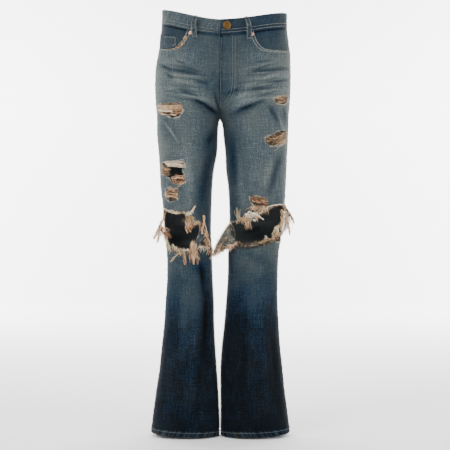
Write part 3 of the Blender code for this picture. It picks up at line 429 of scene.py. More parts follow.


# %% [markdown]
# ## Washed denim
# Denim is a cotton twill: blue warp threads run down the leg over an undyed weft. The blue lies only on the
# outside of each warp thread, so wear turns it grey and then white. Ring-spun yarn is uneven, which leaves
# long streaks down the leg and short ones across. To the eye it is matt, with a faint fuzz that catches light
# at the edges. Thread pitch is about 0.5 mm, too fine for the render, so the twill is drawn at 1.6 mm, and
# the streaks of single yarns are 1.3 to 2.8 mm wide.
#
# Wear, with painted shade and painted highlights in a few places, is a number on each point of the cloth,
# worked out further down. Here it picks a colour from deep indigo, through slate, to washed-out grey, and
# each streak pushes it up or down a little.

# %% Denim, its right side and its wrong side
TWILL_PITCH, TWILL_ANGLE, TWILL_TONE = 1.6 * MM, 63, 0.07  # its angle in degrees, and how much it shows
WAVE_PERIOD = math.pi / 10  # of Blender's wave texture at scale 1
STREAKS = (  # width and length of a streak in mm, its detail, and how far it changes the wear
    (2.8, 44, 2.0, 0.32),
    (1.3, 14, 1.0, 0.22),
    (40, 2.6, 2.0, 0.26),
    (2.8, 3.6, 2.0, 0.52),
    (34, 52, 3.0, 0.16),
)
DENIM_STOPS = (
    (0.0, "#000206"),
    (0.1, "#000811"),
    (0.2, "#061829"),
    (0.3, "#172937"),
    (0.42, "#202d35"),
    (0.66, "#3d474c"),
    (0.86, "#5d6464"),
    (1.0, "#7c7f7c"),
)
WRONG_STOPS = ((0.0, "#1a2127"), (0.5, "#3f4649"), (1.0, "#77797a"))
STAIN, BARE_WEFT = "#6d6c5c", "#c6b597"


def build_denim(name, stops, streak_share):
    """Denim whose colour follows the wear and painted shade and highlights, under its streaks, twill, stains
    and bare weft.
    """
    matt = {"Roughness": 0.9, "Specular IOR Level": 0.12, "Sheen Weight": 0.05, "Sheen Roughness": 0.4}
    made, tree, shader = new_finish(name, matt)
    uv = add_node(tree, "UVMap", {}, uv_map="cloth")
    keys = ("fade", "grime", "raw")
    fade, grime, raw = (add_node(tree, "Attribute", {}, out="Fac", attribute_name=key) for key in keys)
    offset = -0.5 * streak_share * sum(row[3] for row in STREAKS)
    level = add_node(tree, "Math", {0: fade, 1: offset}, operation="ADD")
    slub = None
    for wide, long, detail, amount in STREAKS:
        size = (1 / (wide * MM), 1 / (long * MM), 1)
        at = add_node(tree, "VectorMath", {0: uv, 1: size}, operation="MULTIPLY")
        yarn = add_node(tree, "TexNoise", {"Vector": at, "Scale": 1.0, "Detail": detail}, out="Fac")
        slub = slub or yarn
        level = add_node(tree, "Math", {0: yarn, 1: amount * streak_share, 2: level}, operation="MULTIPLY_ADD")
    turn = {"Vector": uv, "Angle": math.radians(TWILL_ANGLE)}
    turned = add_node(tree, "VectorRotate", turn, rotation_type="Z_AXIS")
    wave = {"Vector": turned, "Scale": WAVE_PERIOD / TWILL_PITCH, "Distortion": 1.5, "Detail": 1.0}
    twill = add_node(tree, "TexWave", wave, out="Fac")
    level = add_node(tree, "Math", {0: twill, 1: TWILL_TONE, 2: level}, operation="MULTIPLY_ADD")
    blue = add_node(tree, "ValToRGB", {"Fac": level}, stops)
    stained = add_node(tree, "Mix", {0: grime, 6: blue, 7: srgb(STAIN)}, out=2, data_type="RGBA")
    colour = add_node(tree, "Mix", {0: raw, 6: stained, 7: srgb(BARE_WEFT)}, out=2, data_type="RGBA")
    height = add_node(tree, "Math", {0: slub, 1: 0.8, 2: twill}, operation="MULTIPLY_ADD")
    bump = add_node(tree, "Bump", {"Height": height, "Strength": 0.55, "Distance": 0.35 * MM})
    set_inputs(tree, shader, {"Base Color": colour, "Normal": bump})
    return made


DENIM = build_denim("washed ring-spun denim", DENIM_STOPS, 1.0)
WRONG_SIDE = build_denim("denim wrong side, undyed weft up", WRONG_STOPS, 0.6)
print("denim made with", len(DENIM.node_tree.nodes), "nodes")

# %% [markdown]
# ## Yarns and metals
# Torn denim shows its weft: soft undyed cotton, cream where it was covered and tan or rust where it took up
# dirt and wash. Each strand keeps its own tone. Topstitching is tightly twisted polyester-cotton, first
# orange, here washed to a dull grey-tan. Button and rivets are plated and worn: aged brass with dark
# in its hollows, and copper gone pink-grey. A metal keeps the default IOR, and patina makes it rougher.

# %% Yarn and metal finishes
YARN_STOPS = (
    (0.0, "#2a2119"),
    (0.25, "#80684f"),
    (0.5, "#b5916b"),
    (0.75, "#dcc09a"),
    (1.0, "#f9f1e0"),
)
TINT_STOPS = ((0.0, "#d6d69c"), (0.5, "#ffffff"), (1.0, "#f6cdb6"))  # from olive stains to pink ones
THREAD_STOPS = ((0.0, "#5d6468"), (0.5, "#8b8a82"), (1.0, "#c0b7a2"))
MOTTLE = 9 * MM  # how large the dirty patches on the yarn are


def build_yarn(name, stops, twist_pitch):
    """Spun cotton: colour from each strand's own tone, mottled, with a fine twist."""
    made, tree, shader = new_finish(name, {"Roughness": 0.92, "Specular IOR Level": 0.15, "Sheen Weight": 0.2})
    tone, tint = (add_node(tree, "Attribute", {}, out="Fac", attribute_name=key) for key in ("tone", "tint"))
    at = add_node(tree, "TexCoord", {}, out="Object")
    dirt = add_node(tree, "TexNoise", {"Vector": at, "Scale": 1 / MOTTLE, "Detail": 2.0}, out="Fac")
    offset = add_node(tree, "Math", {0: dirt, 1: -0.5}, operation="ADD")
    level = add_node(tree, "Math", {0: offset, 1: 0.7, 2: tone}, operation="MULTIPLY_ADD")
    spun = add_node(tree, "ValToRGB", {"Fac": level}, stops)
    cast = add_node(tree, "ValToRGB", {"Fac": tint}, TINT_STOPS)
    both = {0: 1.0, 6: spun, 7: cast}
    colour = add_node(tree, "Mix", both, out=2, data_type="RGBA", blend_type="MULTIPLY")
    twist = add_node(tree, "TexWave", {"Vector": at, "Scale": WAVE_PERIOD / twist_pitch}, out="Fac")
    bump = add_node(tree, "Bump", {"Height": twist, "Strength": 0.4, "Distance": 0.2 * MM})
    set_inputs(tree, shader, {"Base Color": colour, "Normal": bump})
    return made


def build_metal(name, bright, dark, grain, roughness):
    """A plated casting: bright on what rubs, dark where hands don't reach."""
    made, tree, shader = new_finish(name, {"Metallic": 1.0})
    at = add_node(tree, "TexCoord", {}, out="Object")
    patina = add_node(tree, "TexNoise", {"Vector": at, "Scale": 1 / grain, "Detail": 4.0}, out="Fac")
    colour = add_node(tree, "ValToRGB", {"Fac": patina}, ((0.3, dark), (0.62, bright)))
    rough = add_node(tree, "MapRange", {"Value": patina, "To Min": roughness + 0.25, "To Max": roughness})
    bump = add_node(tree, "Bump", {"Height": patina, "Strength": 0.3, "Distance": 0.15 * MM})
    set_inputs(tree, shader, {"Base Color": colour, "Roughness": rough, "Normal": bump})
    return made


WEFT = build_yarn("undyed cotton weft, frayed", YARN_STOPS, 1.2 * MM)
THREAD = build_yarn("washed topstitching thread", THREAD_STOPS, 0.9 * MM)
BRASS = build_metal("aged brass plate", "#725734", "#332410", 1.6 * MM, 0.36)
COPPER = build_metal("worn copper plate", "#c49a86", "#7d5546", 2 * MM, 0.3)
print("yarns and metals:", [finish.name for finish in (WEFT, THREAD, BRASS, COPPER)])

# %% [markdown]
# ## Wear
# Jeans fade where they rub and bend: thighs and hips most, then the seat, less below the knee, hardly at the
# calf. The inner side of each leg stays dark. Ridges of creases go pale and their troughs stay blue. Beside
# the seams the folded allowance shrinks in the wash and ropes, so it wears in pale flecks. Each row gives
# the wear at one drop beside the side seam, at the middle and at the inner seam.
# Painted shade is added under the waistband, beside the fly's edge and on the left calf, and a painted
# highlight line with a painted shade line beside the left side seam.

# %% Wear over the cloth
WEAR_ROWS = {
    FRONT: (
        (0, 0.66, 0.50, 0.44),
        (60, 0.62, 0.53, 0.41),
        (120, 0.82, 0.69, 0.45),
        (200, 0.84, 0.70, 0.45),
        (262, 0.72, 0.59, 0.42),
        (330, 0.72, 0.61, 0.4),
        (420, 0.70, 0.60, 0.37),
        (500, 0.66, 0.56, 0.32),
        (600, 0.47, 0.50, 0.26),
        (660, 0.34, 0.40, 0.23),
        (720, 0.21, 0.29, 0.18),
        (780, 0.11, 0.14, 0.10),
        (860, 0.08, 0.09, 0.07),
        (1000, 0.06, 0.07, 0.06),
        (1060, 0.03, 0.04, 0.03),
    ),
    BACK: (
        (0, 0.55, 0.45, 0.42),
        (90, 0.58, 0.56, 0.46),
        (180, 0.62, 0.70, 0.50),
        (262, 0.60, 0.66, 0.40),
        (420, 0.58, 0.58, 0.32),
        (540, 0.48, 0.54, 0.28),
        (660, 0.28, 0.34, 0.2),
        (820, 0.13, 0.16, 0.12),
        (1060, 0.05, 0.05, 0.05),
    ),
}
MIDDLE_SHARE = 0.45
PANEL_WIDTH = 225 * MM  # about what a panel measures across a thigh
FOLD_WEAR, FINE_WEAR = 0.04, 0.16  # wear for each mm that a crease stands out
RIDGE_WEAR = {FRONT: 1.0, BACK: 0.6}  # how much of that the ridges get
SEAM_FLECK, SEAM_REACH, ROPE_PITCH = 0.16, 9 * MM, 13 * MM
RISE_PLAIN, RISE_FOOT = 0.8, 255 * MM  # how much of the flecks is missing along the rise seam
SHADE = 0.3  # how much painted shade darkens the cloth under the band and beside the fly's edge
SHADE_AT, SHADE_WIDE, FLY_SHADE_WIDE = 2 * MM, 3 * MM, 2.2 * MM
PAINTED_RIDGE_LINES = ((26, 1.6, 0.26), (17, 4.0, -0.16))  # a painted highlight line and a painted shade line: mm from the left side seam, width in mm, how much paler or darker
PAINTED_RIDGE_FOOT, PAINTED_RIDGE_RUN = 540 * MM, 20 * MM
BAND_DEPTH = 37 * MM
SIDE_TOP_DROP = {RIGHT: -7 * MM, LEFT: 2 * MM}
CENTRE_TOP_DROP = {FRONT: 30 * MM, BACK: -5 * MM}


def waist_drop(side, face, share):
    """The waistband's upper edge."""
    return SIDE_TOP_DROP[side] + (CENTRE_TOP_DROP[face] - SIDE_TOP_DROP[side]) * ease(share)


def roping(drop):
    """The uneven ripple along a washed seam, from -1 to 1."""
    turn = 2 * np.pi / ROPE_PITCH
    return np.sin(drop * turn + 1.8 * np.sin(drop * turn / 3.7) + 1.1 * np.sin(drop * turn / 8.3))


def wear_and_painted_light(side, face, drop, share):
    """How far the cloth is faded, from 0 to 1, at each place, with painted shade and painted highlights added.
    """
    shape = np.broadcast(drop, share).shape
    drop, share = (np.broadcast_to(v, shape).ravel().astype(float) for v in (drop, share))
    drops, *levels = np.array(WEAR_ROWS[face], dtype=float).T
    at_side, at_middle, at_inner = (np.interp(drop / MM, drops, level) for level in levels)
    outward = np.clip(share / MIDDLE_SHARE, 0, 1)
    inward = np.clip((share - MIDDLE_SHARE) / (1 - MIDDLE_SHARE), 0, 1)
    fade = at_side + (at_middle - at_side) * ease(outward) + (at_inner - at_middle) * ease(inward)
    flat = drawn(face, bare_point(side, face, drop, share))
    creases = FOLD_WEAR * crease_height(face, flat, FOLD_ROWS)
    creases += FINE_WEAR * crease_height(face, flat, FINE_ROWS)
    creases *= np.where(creases > 0, RIDGE_WEAR[face], 1.0)
    fade += creases / MM * np.clip(fade / 0.5, 0, 1)
    from_seam = np.minimum(share, 1 - share) * PANEL_WIDTH
    flecked = 1 - RISE_PLAIN * ((drop < RISE_FOOT) & (share > 0.5))
    fade += flecked * SEAM_FLECK * (roping(drop) - 0.25) * bell(from_seam, SEAM_REACH)
    # painted shade under the waistband, and beside the fly's edge in front
    fade -= SHADE * bell(drop - BAND_DEPTH - waist_drop(side, face, share) - SHADE_AT, SHADE_WIDE)
    if face == FRONT:
        fade -= SHADE * bell(from_seam, FLY_SHADE_WIDE) * (share > 0.5) * (drop < CROTCH_DROP)
    if side == LEFT:  # painted shade on the calf, away from the key light, and a little darker at the hip
        fade -= 0.05 * np.clip(1 - drop / (200 * MM), 0, 1) + 0.04 * np.clip(drop / (100 * MM) - 6.2, 0, 1)
    # painted highlight and painted shade lines beside the left side seam, above the knee
    if face == FRONT and side == LEFT:
        shown = np.clip((PAINTED_RIDGE_FOOT - drop) / PAINTED_RIDGE_RUN, 0, 1) * (share < 0.5)
        for at, wide, change in PAINTED_RIDGE_LINES:
            fade += shown * change * bell(from_seam - at * MM, wide * MM)
    return np.clip(fade, 0, 1.2).reshape(shape)


def lumps(points, size):
    """Soft unevenness of the given size, from -1 to 1, at each point."""
    flat = points.reshape(-1, 3) / size
    return np.array([noise.noise(Vector(p)) for p in flat]).reshape(points.shape[:-1])


print("wear on the left thigh:", wear_and_painted_light(LEFT, FRONT, 0.4, np.array([0.05, 0.45, 0.95])).round(2).tolist())

# %% [markdown]
# ## Cut cloth as shells
# A sewn piece is a thin wall: its right side, its wrong side a layer's thickness behind, and a narrow edge
# all round. It could be a plane with a Solidify and a Boolean modifier, but a boolean leaves long thin faces
# at each tear. Here a fine grid follows the cloth, the cells inside a cut are left out, and the points beside
# the cut slide on to its line, so that the edge is clean and the weave's map stays even.

# %% Shell helpers
CLOTH = 1.6 * MM
FACING = 1.2 * MM
SEAM_GAP = 0.3 * MM
SNAP_STEPS, SNAP_MOST = 3, 2 * MM  # how often and how far a point slides towards a cut
SHARP = 55  # degrees between faces, past which an edge is drawn sharp


def link(name, data):
    """A new object in the scene."""
    made = bpy.data.objects.new(name, data)
    bpy.context.scene.collection.objects.link(made)
    return made


def add_piece(name, mesh, finishes, nodes):
    """Links a piece, rides it on the body, gives it its finishes and hides the solids it stands for."""
    for finish in finishes:
        mesh.materials.append(finish)
    piece = link(name, mesh)
    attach(piece, "root")
    if nodes:
        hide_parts(*nodes)
    return piece


def smooth_mesh(name, points, faces, **values):
    """A smoothly shaded mesh, with numbers on its points for its material to read."""
    mesh = bpy.data.meshes.new(name)
    mesh.from_pydata(np.reshape(points, (-1, 3)).tolist(), [], faces)
    mesh.polygons.foreach_set("use_smooth", [True] * len(faces))
    for key, numbers in values.items():
        mesh.attributes.new(key, "FLOAT", "POINT").data.foreach_set("value", np.ravel(numbers))
    return mesh


def grid_quads(rows, columns):
    """The corners of each cell of a grid."""
    index = np.arange(rows * columns).reshape(rows, columns)
    return np.stack([index[:-1, :-1], index[1:, :-1], index[1:, 1:], index[:-1, 1:]], axis=-1)


def shell_mesh(name, outer, inner, kept, uv, **values):
    """A wall between the kept cells of two grids. Its second finish is inside and on the edges."""
    corners = grid_quads(*outer.shape[:2])[kept]
    spots = outer.reshape(-1, 3)
    a, b, c = (spots[corners[:, k]] for k in (0, 1, 3))
    away = (outer - inner).reshape(-1, 3)[corners[:, 0]]
    if (np.cross(b - a, c - a) * away).sum() < 0:
        corners = corners[:, ::-1]
    edges = np.concatenate([corners[:, [k, (k + 1) % 4]] for k in range(4)])
    _, first, counts = np.unique(np.sort(edges, axis=1), axis=0, return_index=True, return_counts=True)
    rim = edges[first[counts == 1]]
    behind = len(spots)
    walls = np.stack([rim[:, 1], rim[:, 0], rim[:, 0] + behind, rim[:, 1] + behind], axis=1)
    faces = np.concatenate([corners, corners[:, ::-1] + behind, walls])
    used, faces = np.unique(faces, return_inverse=True)
    faces = faces.reshape(-1, 4)
    both = {key: np.concatenate([np.ravel(v)] * 2)[used] for key, v in values.items()}
    mesh = smooth_mesh(name, np.concatenate([spots, inner.reshape(-1, 3)])[used], faces.tolist(), **both)
    mesh.polygons.foreach_set("material_index", (np.arange(len(faces)) >= len(corners)).astype(int))
    flat = np.concatenate([uv.reshape(-1, 2)] * 2)[used]
    mesh.uv_layers.new(name="cloth").data.foreach_set("uv", flat[faces.ravel()].ravel())
    mesh.set_sharp_from_angle(angle=math.radians(SHARP))
    return mesh


def cloth_uv(points, drops):
    """A map in metres: across the piece from its middle, and down it."""
    steps = np.linalg.norm(np.diff(points, axis=1), axis=2)
    along = np.concatenate([np.zeros((len(points), 1)), np.cumsum(steps, axis=1)], axis=1)
    return np.stack([along - along[:, -1:] / 2, np.broadcast_to(drops, along.shape)], axis=2)


def outline_gap(flat, outline):
    """How far each drawn place is from a closed outline in millimetres, below 0 inside it."""
    corners = np.array(outline, dtype=float) * MM
    nearest = np.full(len(flat), 1.0)
    inside = np.zeros(len(flat), dtype=bool)
    for start, end in zip(corners, np.roll(corners, -1, axis=0)):
        edge = end - start
        nearest = np.minimum(nearest, beside(flat, start, edge)[1])
        crossed = (start[1] > flat[:, 1]) != (end[1] > flat[:, 1])
        height = edge[1] if edge[1] else 1e-12
        inside ^= crossed & (flat[:, 0] < start[0] + (flat[:, 1] - start[1]) * edge[0] / height)
    return np.where(inside, -nearest, nearest)


def slide_to_cut(side, face, drops, shares, kept, room):
    """Moves the grid's points beside a cut on to its line. room is above 0 where the cloth stays."""
    touched = np.zeros((2,) + drops.shape, dtype=bool)
    for k, cells in enumerate((kept, ~kept)):
        for down in (slice(None, -1), slice(1, None)):
            for across in (slice(None, -1), slice(1, None)):
                touched[k][down, across] |= cells
    moved = touched[0] & touched[1]
    if not moved.any():
        return
    drop, share = drops[moved], shares[moved]
    inward = np.where(share < 0.5, NEAR_SHARE, -NEAR_SHARE)
    for _ in range(SNAP_STEPS):
        here, beyond, below = (
            room(drawn(face, on_cloth(side, face, drop + d, share + s)))
            for d, s in ((0, 0), (0, inward), (NEAR_DROP, 0))
        )
        slope = np.stack([(beyond - here) / (inward * PANEL_WIDTH), (below - here) / NEAR_DROP])
        step = np.clip(here * slope / ((slope**2).sum(axis=0) + 1e-3), -SNAP_MOST, SNAP_MOST)
        share, drop = np.clip(share - step[0] / PANEL_WIDTH, 0, 1), drop - step[1]
    drops[moved], shares[moved] = drop, share


print("layers in mm: cloth", CLOTH / MM, "facing", FACING / MM, "gap", SEAM_GAP / MM)

# %% [markdown]
# ## Tears and pocket mouths
# The tears are drawn as the eye sees them from straight ahead, like the creases. A tear follows the weave in
# steps, so its line is roughened a little before the cloth is cut. The pocket mouths are clean curves.

# %% Outlines on the front
RIPS = {  # the corners x, z of each tear in mm, on the leg that its name ends with
    "thigh_right": (
        (-166, -227), (-155, -225), (-137, -224), (-120, -226), (-112, -232), (-105, -241), (-112, -248),
        (-116, -256), (-132, -259), (-143, -255), (-155, -249), (-166, -246),
    ),
    "low_thigh_right": (
        (-157, -373), (-145, -370), (-103, -371), (-101, -383), (-110, -390), (-103, -400), (-100, -420),
        (-117, -425), (-132, -420), (-138, -410), (-150, -405), (-157, -395),
    ),
    "above_knee_right": (
        (-148, -438), (-135, -434), (-120, -441), (-116, -455), (-122, -466), (-140, -469), (-148, -458),
    ),
    "knee_right": (
        (-172, -494), (-150, -491), (-126, -496), (-116, -498), (-88, -499), (-81, -501), (-80, -519),
        (-63, -520), (-64, -545), (-70, -560), (-78, -575), (-89, -593), (-110, -595), (-125, -588),
        (-135, -581), (-172, -581),
    ),
    "side_knee_right": (
        (-62, -568), (-55, -562), (-46, -569), (-44, -584), (-54, -588), (-61, -582),
    ),
    "hip_left": ((121, -210), (137, -206), (155, -208), (157, -218), (147, -226), (130, -223)),
    "thigh_left": (
        (100, -310), (115, -305), (135, -293), (152, -292), (152, -310), (140, -324), (117, -330), (104, -323),
    ),
    "above_knee_left": (
        (62, -458), (80, -456), (102, -462), (105, -475), (92, -482), (75, -480), (65, -470),
    ),
    "knee_left": (
        (23, -520), (34, -516), (52, -518), (60, -514), (80, -515), (83, -505), (93, -493), (108, -483),
        (128, -478), (148, -477), (172, -482), (172, -562), (135, -569), (112, -567), (97, -572), (75, -577),
        (52, -580), (35, -577), (23, -572), (2, -572), (2, -525),
    ),
}
MOUTHS = {
    RIGHT: ((-94, -36), (-100, -51), (-106, -63), (-114, -72), (-122, -81), (-130, -86), (-144, -88),
            (-166, -89)),
    LEFT: ((73, -38), (76, -55), (82, -68), (90, -80), (102, -88), (125, -91), (164, -94)),
}
COIN_POCKET = ((-153, -55), (-123, -56), (-122, -77), (-132, -83), (-153, -85))
FLY = ((-14, -60), (29, -60), (29, -178), (26, -200), (17, -220), (4, -232), (-16, -238))
BACK_POCKET = ((26, -126), (144, -118), (132, -238), (82, -262), (34, -244))  # x is out from FORK_X
FACING_UNDER, FACING_DEPTH = 12 * MM, 30 * MM
OUTSIDE, ABOVE = 230, 40  # mm, clear of the hip and of the waist
RAGGED = 1.3 * MM  # how far a torn edge strays
RAW_REACH, RAW_MOST = 1.1 * MM, 0.75  # the bare weft shows this far in from a torn edge, and this much
EDGE_REACH = 2.0 * MM  # a turned edge is worn this far in


def mouth_outline(side, grow_in, grow_down):
    """The corner outside a pocket mouth, its curved edge moved in towards the fly and down."""
    curve = [(x - side * grow_in / MM, z - grow_down / MM) for x, z in MOUTHS[side]]
    far = side * OUTSIDE
    return curve + [(far, curve[-1][1]), (far, ABOVE), (curve[0][0], ABOVE)]


def straying(flat):
    """The stepped unevenness of a torn edge."""
    x, z = flat[:, 0], flat[:, 1]
    return RAGGED * np.sin(x * 700 + 2.1 * np.sin(z * 430)) * np.sin(z * 910 + 1.7 * np.sin(x * 520))


def tear_room(side, flat):
    """How far drawn places are from the nearest tear on this side."""
    rooms = [outline_gap(flat, outline) for name, outline in RIPS.items() if name.endswith(LEG_NAMES[side])]
    return np.min(rooms, axis=0) + straying(flat)


print(len(RIPS), "tears, and pocket mouths of", [len(curve) for curve in MOUTHS.values()], "points")

# %% [markdown]
# ## Front and back panels
# A jean leg is two panels of one width of cloth each, joined down the outside by a plain pressed-open seam
# and down the inside by a flat-felled one. Seams pull the cloth into a groove with a puckered ridge beside
# it. The front is cut finer than the back, because its creases and tears need more points.

# %% Panels
YOKE_DEPTH_SIDE, YOKE_DEPTH_CENTRE = 30 * MM, 72 * MM
HEM_DROP_OUTER, HEM_DROP_INNER, HEM_DEPTH = 1045 * MM, 1054 * MM, 15 * MM
UNDER_BAND, UNDER_YOKE, UNDER_HEM = 6 * MM, 2 * MM, 3 * MM  # how far the panels run on under these
FRONT_GRID, BACK_GRID, YOKE_GRID = (330, 84), (230, 60), (22, 60)
SEAM_RIDGE = {FRONT: 0.9 * MM, BACK: 1.2 * MM}
RIDGE_AT, RIDGE_WIDE, GROOVE, GROOVE_WIDE = 6 * MM, 3.5 * MM, 0.8 * MM, 1.4 * MM
SWELL, SWELL_SIZE = 0.35 * MM, 24 * MM  # soft unevenness all over the cloth


def band_foot(side, face, share):
    """The waistband's lower edge."""
    return waist_drop(side, face, share) + BAND_DEPTH


def yoke_foot(side, face, share):
    """A yoke's lower edge, deepest at the middle of the back."""
    return band_foot(side, face, share) + YOKE_DEPTH_SIDE + (YOKE_DEPTH_CENTRE - YOKE_DEPTH_SIDE) * share


def hem_foot(share):
    """The leg's lower end."""
    return HEM_DROP_OUTER + (HEM_DROP_INNER - HEM_DROP_OUTER) * share


def seam_relief(face, drop, share):
    """A groove at each seam and the roped ridge of its folded allowance beside it."""
    from_seam = np.minimum(share, 1 - share) * PANEL_WIDTH
    ridge = SEAM_RIDGE[face] * (0.55 + 0.45 * roping(drop)) * bell(from_seam - RIDGE_AT, RIDGE_WIDE)
    return ridge - GROOVE * bell(from_seam, GROOVE_WIDE)


def add_sheet(name, outer, inner, uv, finishes, kept=None, node=None, held="gathered", **values):
    """A cloth piece in its solid's place."""
    if kept is None:
        kept = np.ones((outer.shape[0] - 1, outer.shape[1] - 1), dtype=bool)
    mesh = shell_mesh(name, outer, inner, kept, uv, **values)
    piece = add_piece(name + "_worn", mesh, finishes, [node or name])


def cut_cloth(name, side, face, grid, lift, thick, room=None, torn=False, add=0.0, edge=0.0):
    """A piece on the cloth's form, kept where room is above 0. add and edge make it, or its rim, paler."""
    drops, shares = grid
    kept = None
    if room:
        gap = room(drawn(face, on_cloth(side, face, drops, shares).reshape(-1, 3))).reshape(drops.shape)
        kept = (gap[:-1, :-1] + gap[1:, :-1] + gap[1:, 1:] + gap[:-1, 1:]) > 0
        slide_to_cut(side, face, drops, shares, kept, room)
    points, normals = on_cloth(side, face, drops, shares, normals=True)
    flat = drawn(face, points.reshape(-1, 3))
    raise_by = lift + SWELL * lumps(points, SWELL_SIZE) + seam_relief(face, drops, shares)
    outer = points + normals * raise_by[..., None]
    inner = points + normals * (raise_by - thick)[..., None]
    rise = (shares > 0.9999) & (drops < CROTCH_DROP)
    for layer in (outer, inner):  # the two halves meet on the centre plane
        layer[..., 0] = np.where(rise, centre_x(drops), layer[..., 0])
    raw = np.zeros(drops.shape)
    if torn:
        raw = RAW_MOST * np.exp(-np.clip(tear_room(side, flat), 0, 1) / RAW_REACH)
        raw = raw.reshape(drops.shape) * np.clip(0.35 + 1.6 * lumps(points, 9 * MM), 0, 1)
    fade = wear_and_painted_light(side, face, drops, shares) + add
    if room:
        fade += edge * np.exp(-np.clip(room(flat), 0, 1) / EDGE_REACH).reshape(drops.shape)
    grime = 0.22 * np.clip(lumps(points, 60 * MM) + 0.35, 0, 1) * np.clip(fade, 0, 1)
    uv = cloth_uv(outer, drops)
    add_sheet(name, outer, inner, uv, (DENIM, WRONG_SIDE), kept, fade=fade, grime=grime, raw=raw)


def panel_grid(counts, upper, lower, span=(0, 1)):
    """Drops and shares between two edges that are given at each share."""
    shares = np.linspace(*span, counts[1])
    steps = np.linspace(0, 1, counts[0])[:, None]
    return upper(shares) + (lower(shares) - upper(shares)) * steps, np.tile(shares, (counts[0], 1))


for side in (RIGHT, LEFT):
    leg, mouth = LEG_NAMES[side], mouth_outline(side, 0, 0)
    foot = lambda s: hem_foot(s) - HEM_DEPTH + UNDER_HEM
    grid = panel_grid(FRONT_GRID, lambda s: band_foot(side, FRONT, s) - UNDER_BAND, foot)
    clear = lambda flat: np.minimum(outline_gap(flat, mouth), tear_room(side, flat))
    cut_cloth("front_" + leg, side, FRONT, grid, 0.0, CLOTH, clear, torn=True, edge=0.12)
    grid = panel_grid(BACK_GRID, lambda s: yoke_foot(side, BACK, s) - UNDER_YOKE, foot)
    cut_cloth("back_" + leg, side, BACK, grid, 0.0, CLOTH)

# %% [markdown]
# ## Yokes, pocket layers and fly
# The yoke is a wedge of the same denim that gives the seat its round. Facings, coin pocket, fly and back
# pockets are patches cut to an outline and sewn on the panels, so each is a shell on the panel's own form,
# raised or sunk by the layers between. Their turned edges rub first, which leaves them paler. The back of
# the jeans isn't in view, so its pockets are plain five-sided patches.

# %% Patches
SEARCH_DROP, SEARCH_STEPS, SEARCH_ROOM = 330 * MM, 111, 4 * MM
YOKE_LIFT, OVER_PANEL = 0.9 * MM, 1 * MM  # how far a yoke stands up, and how far it laps over its panel
BACK_POCKETS = {side: [(FORK_X / MM + side * x, z) for x, z in BACK_POCKET] for side in (RIGHT, LEFT)}
FACINGS = {side: mouth_outline(side, FACING_UNDER, FACING_DEPTH) for side in (RIGHT, LEFT)}
PATCHES = {  # side, face, outline, rows, columns, lift, thickness, how much paler it is and its edge is
    # The facings and the coin pocket lie sunk in the pocket mouths; their lower values are painted shade.
    "pocket_facing_right": (RIGHT, FRONT, FACINGS[RIGHT], 60, 60, -CLOTH - SEAM_GAP, FACING, -0.2, 0.0),
    "pocket_facing_left": (LEFT, FRONT, FACINGS[LEFT], 60, 60, -CLOTH - SEAM_GAP, FACING, -0.14, 0.0),
    "coin_pocket": (RIGHT, FRONT, COIN_POCKET, 40, 40, FACING - CLOTH, FACING, -0.12, 0.16),
    "fly": (LEFT, FRONT, FLY, 110, 40, SEAM_GAP + FACING, FACING, -0.02, 0.08),
    "back_pocket_right": (RIGHT, BACK, BACK_POCKETS[RIGHT], 70, 70, SEAM_GAP + CLOTH, CLOTH, 0.06, 0.3),
    "back_pocket_left": (LEFT, BACK, BACK_POCKETS[LEFT], 70, 70, SEAM_GAP + CLOTH, CLOTH, 0.06, 0.3),
}


def drawn_grid(side, face, outline, counts):
    """A fine grid of drops and shares over an outline, from under the waistband down."""
    drops, shares = np.linspace(0, SEARCH_DROP, SEARCH_STEPS), np.linspace(0, 1, SEARCH_STEPS)
    flat = drawn(face, on_cloth(side, face, drops[:, None], shares).reshape(-1, 3))
    inside = outline_gap(flat, outline).reshape(SEARCH_STEPS, -1) < SEARCH_ROOM
    high, low = drops[inside.any(axis=1)][[0, -1]]
    span = shares[inside.any(axis=0)][[0, -1]]
    upper = lambda s: np.maximum(high, band_foot(side, face, s) - UNDER_BAND)
    return panel_grid(counts, upper, lambda s: low, span)


for name, (side, face, outline, rows, columns, lift, thick, add, edge) in PATCHES.items():
    grid = drawn_grid(side, face, outline, (rows, columns))
    cut_cloth(name, side, face, grid, lift, thick, lambda flat: -outline_gap(flat, outline), add=add, edge=edge)
for side in (RIGHT, LEFT):
    upper = lambda s: band_foot(side, BACK, s) - UNDER_BAND
    grid = panel_grid(YOKE_GRID, upper, lambda s: yoke_foot(side, BACK, s) + OVER_PANEL)
    cut_cloth("yoke_" + LEG_NAMES[side], side, BACK, grid, YOKE_LIFT, CLOTH, add=0.05)

# %% [markdown]
# ## Waistband and hems
# Both are strips folded double that run through several panels. The waistband starts at the fly's edge, goes
# round the wearer's left and the back, and its end laps under at the front. The hems are turned twice and
# chain-stitched. That pulls the layers past each other, so that they rope: slanting ridges rub pale and the
# hollows between stay dark.

# %% Strips through several panels
BAND_LIFT, BAND_THICK, LAP_GAP, LAP_FROM, LAP_TO = 0.8 * MM, 2.6 * MM, 0.4 * MM, 0.7, 0.84
HEM_LIFT, HEM_THICK = 0.6 * MM, 3.0 * MM
BAND_FADE, HEM_FADE = {RIGHT: 0.1, LEFT: -0.14}, {RIGHT: 0.1, LEFT: 0.1}
# Runs have a side, a face, the shares at their start and end, and how many columns of points.
BAND_RUN = ((LEFT, FRONT, 1, 0, 90), (LEFT, BACK, 0, 1, 90), (RIGHT, BACK, 1, 0, 90), (RIGHT, FRONT, 0, 1, 90),
            (LEFT, FRONT, 1, LAP_TO, 24))
STRIP_EDGE, STRIP_ROUND, STRIP_SWELL = 1.4 * MM, 0.9 * MM, 0.3 * MM
END_HIGHLIGHT, END_WIDE = 0.5, 2.5 * MM  # a painted highlight along the edge of the band's lapped end
ROPE_HIGH, ROPE_IN, ROPE_WIDE = 2.2 * MM, 4 * MM, 2.5 * MM  # a roped hem's slanting ridges, in from its edges


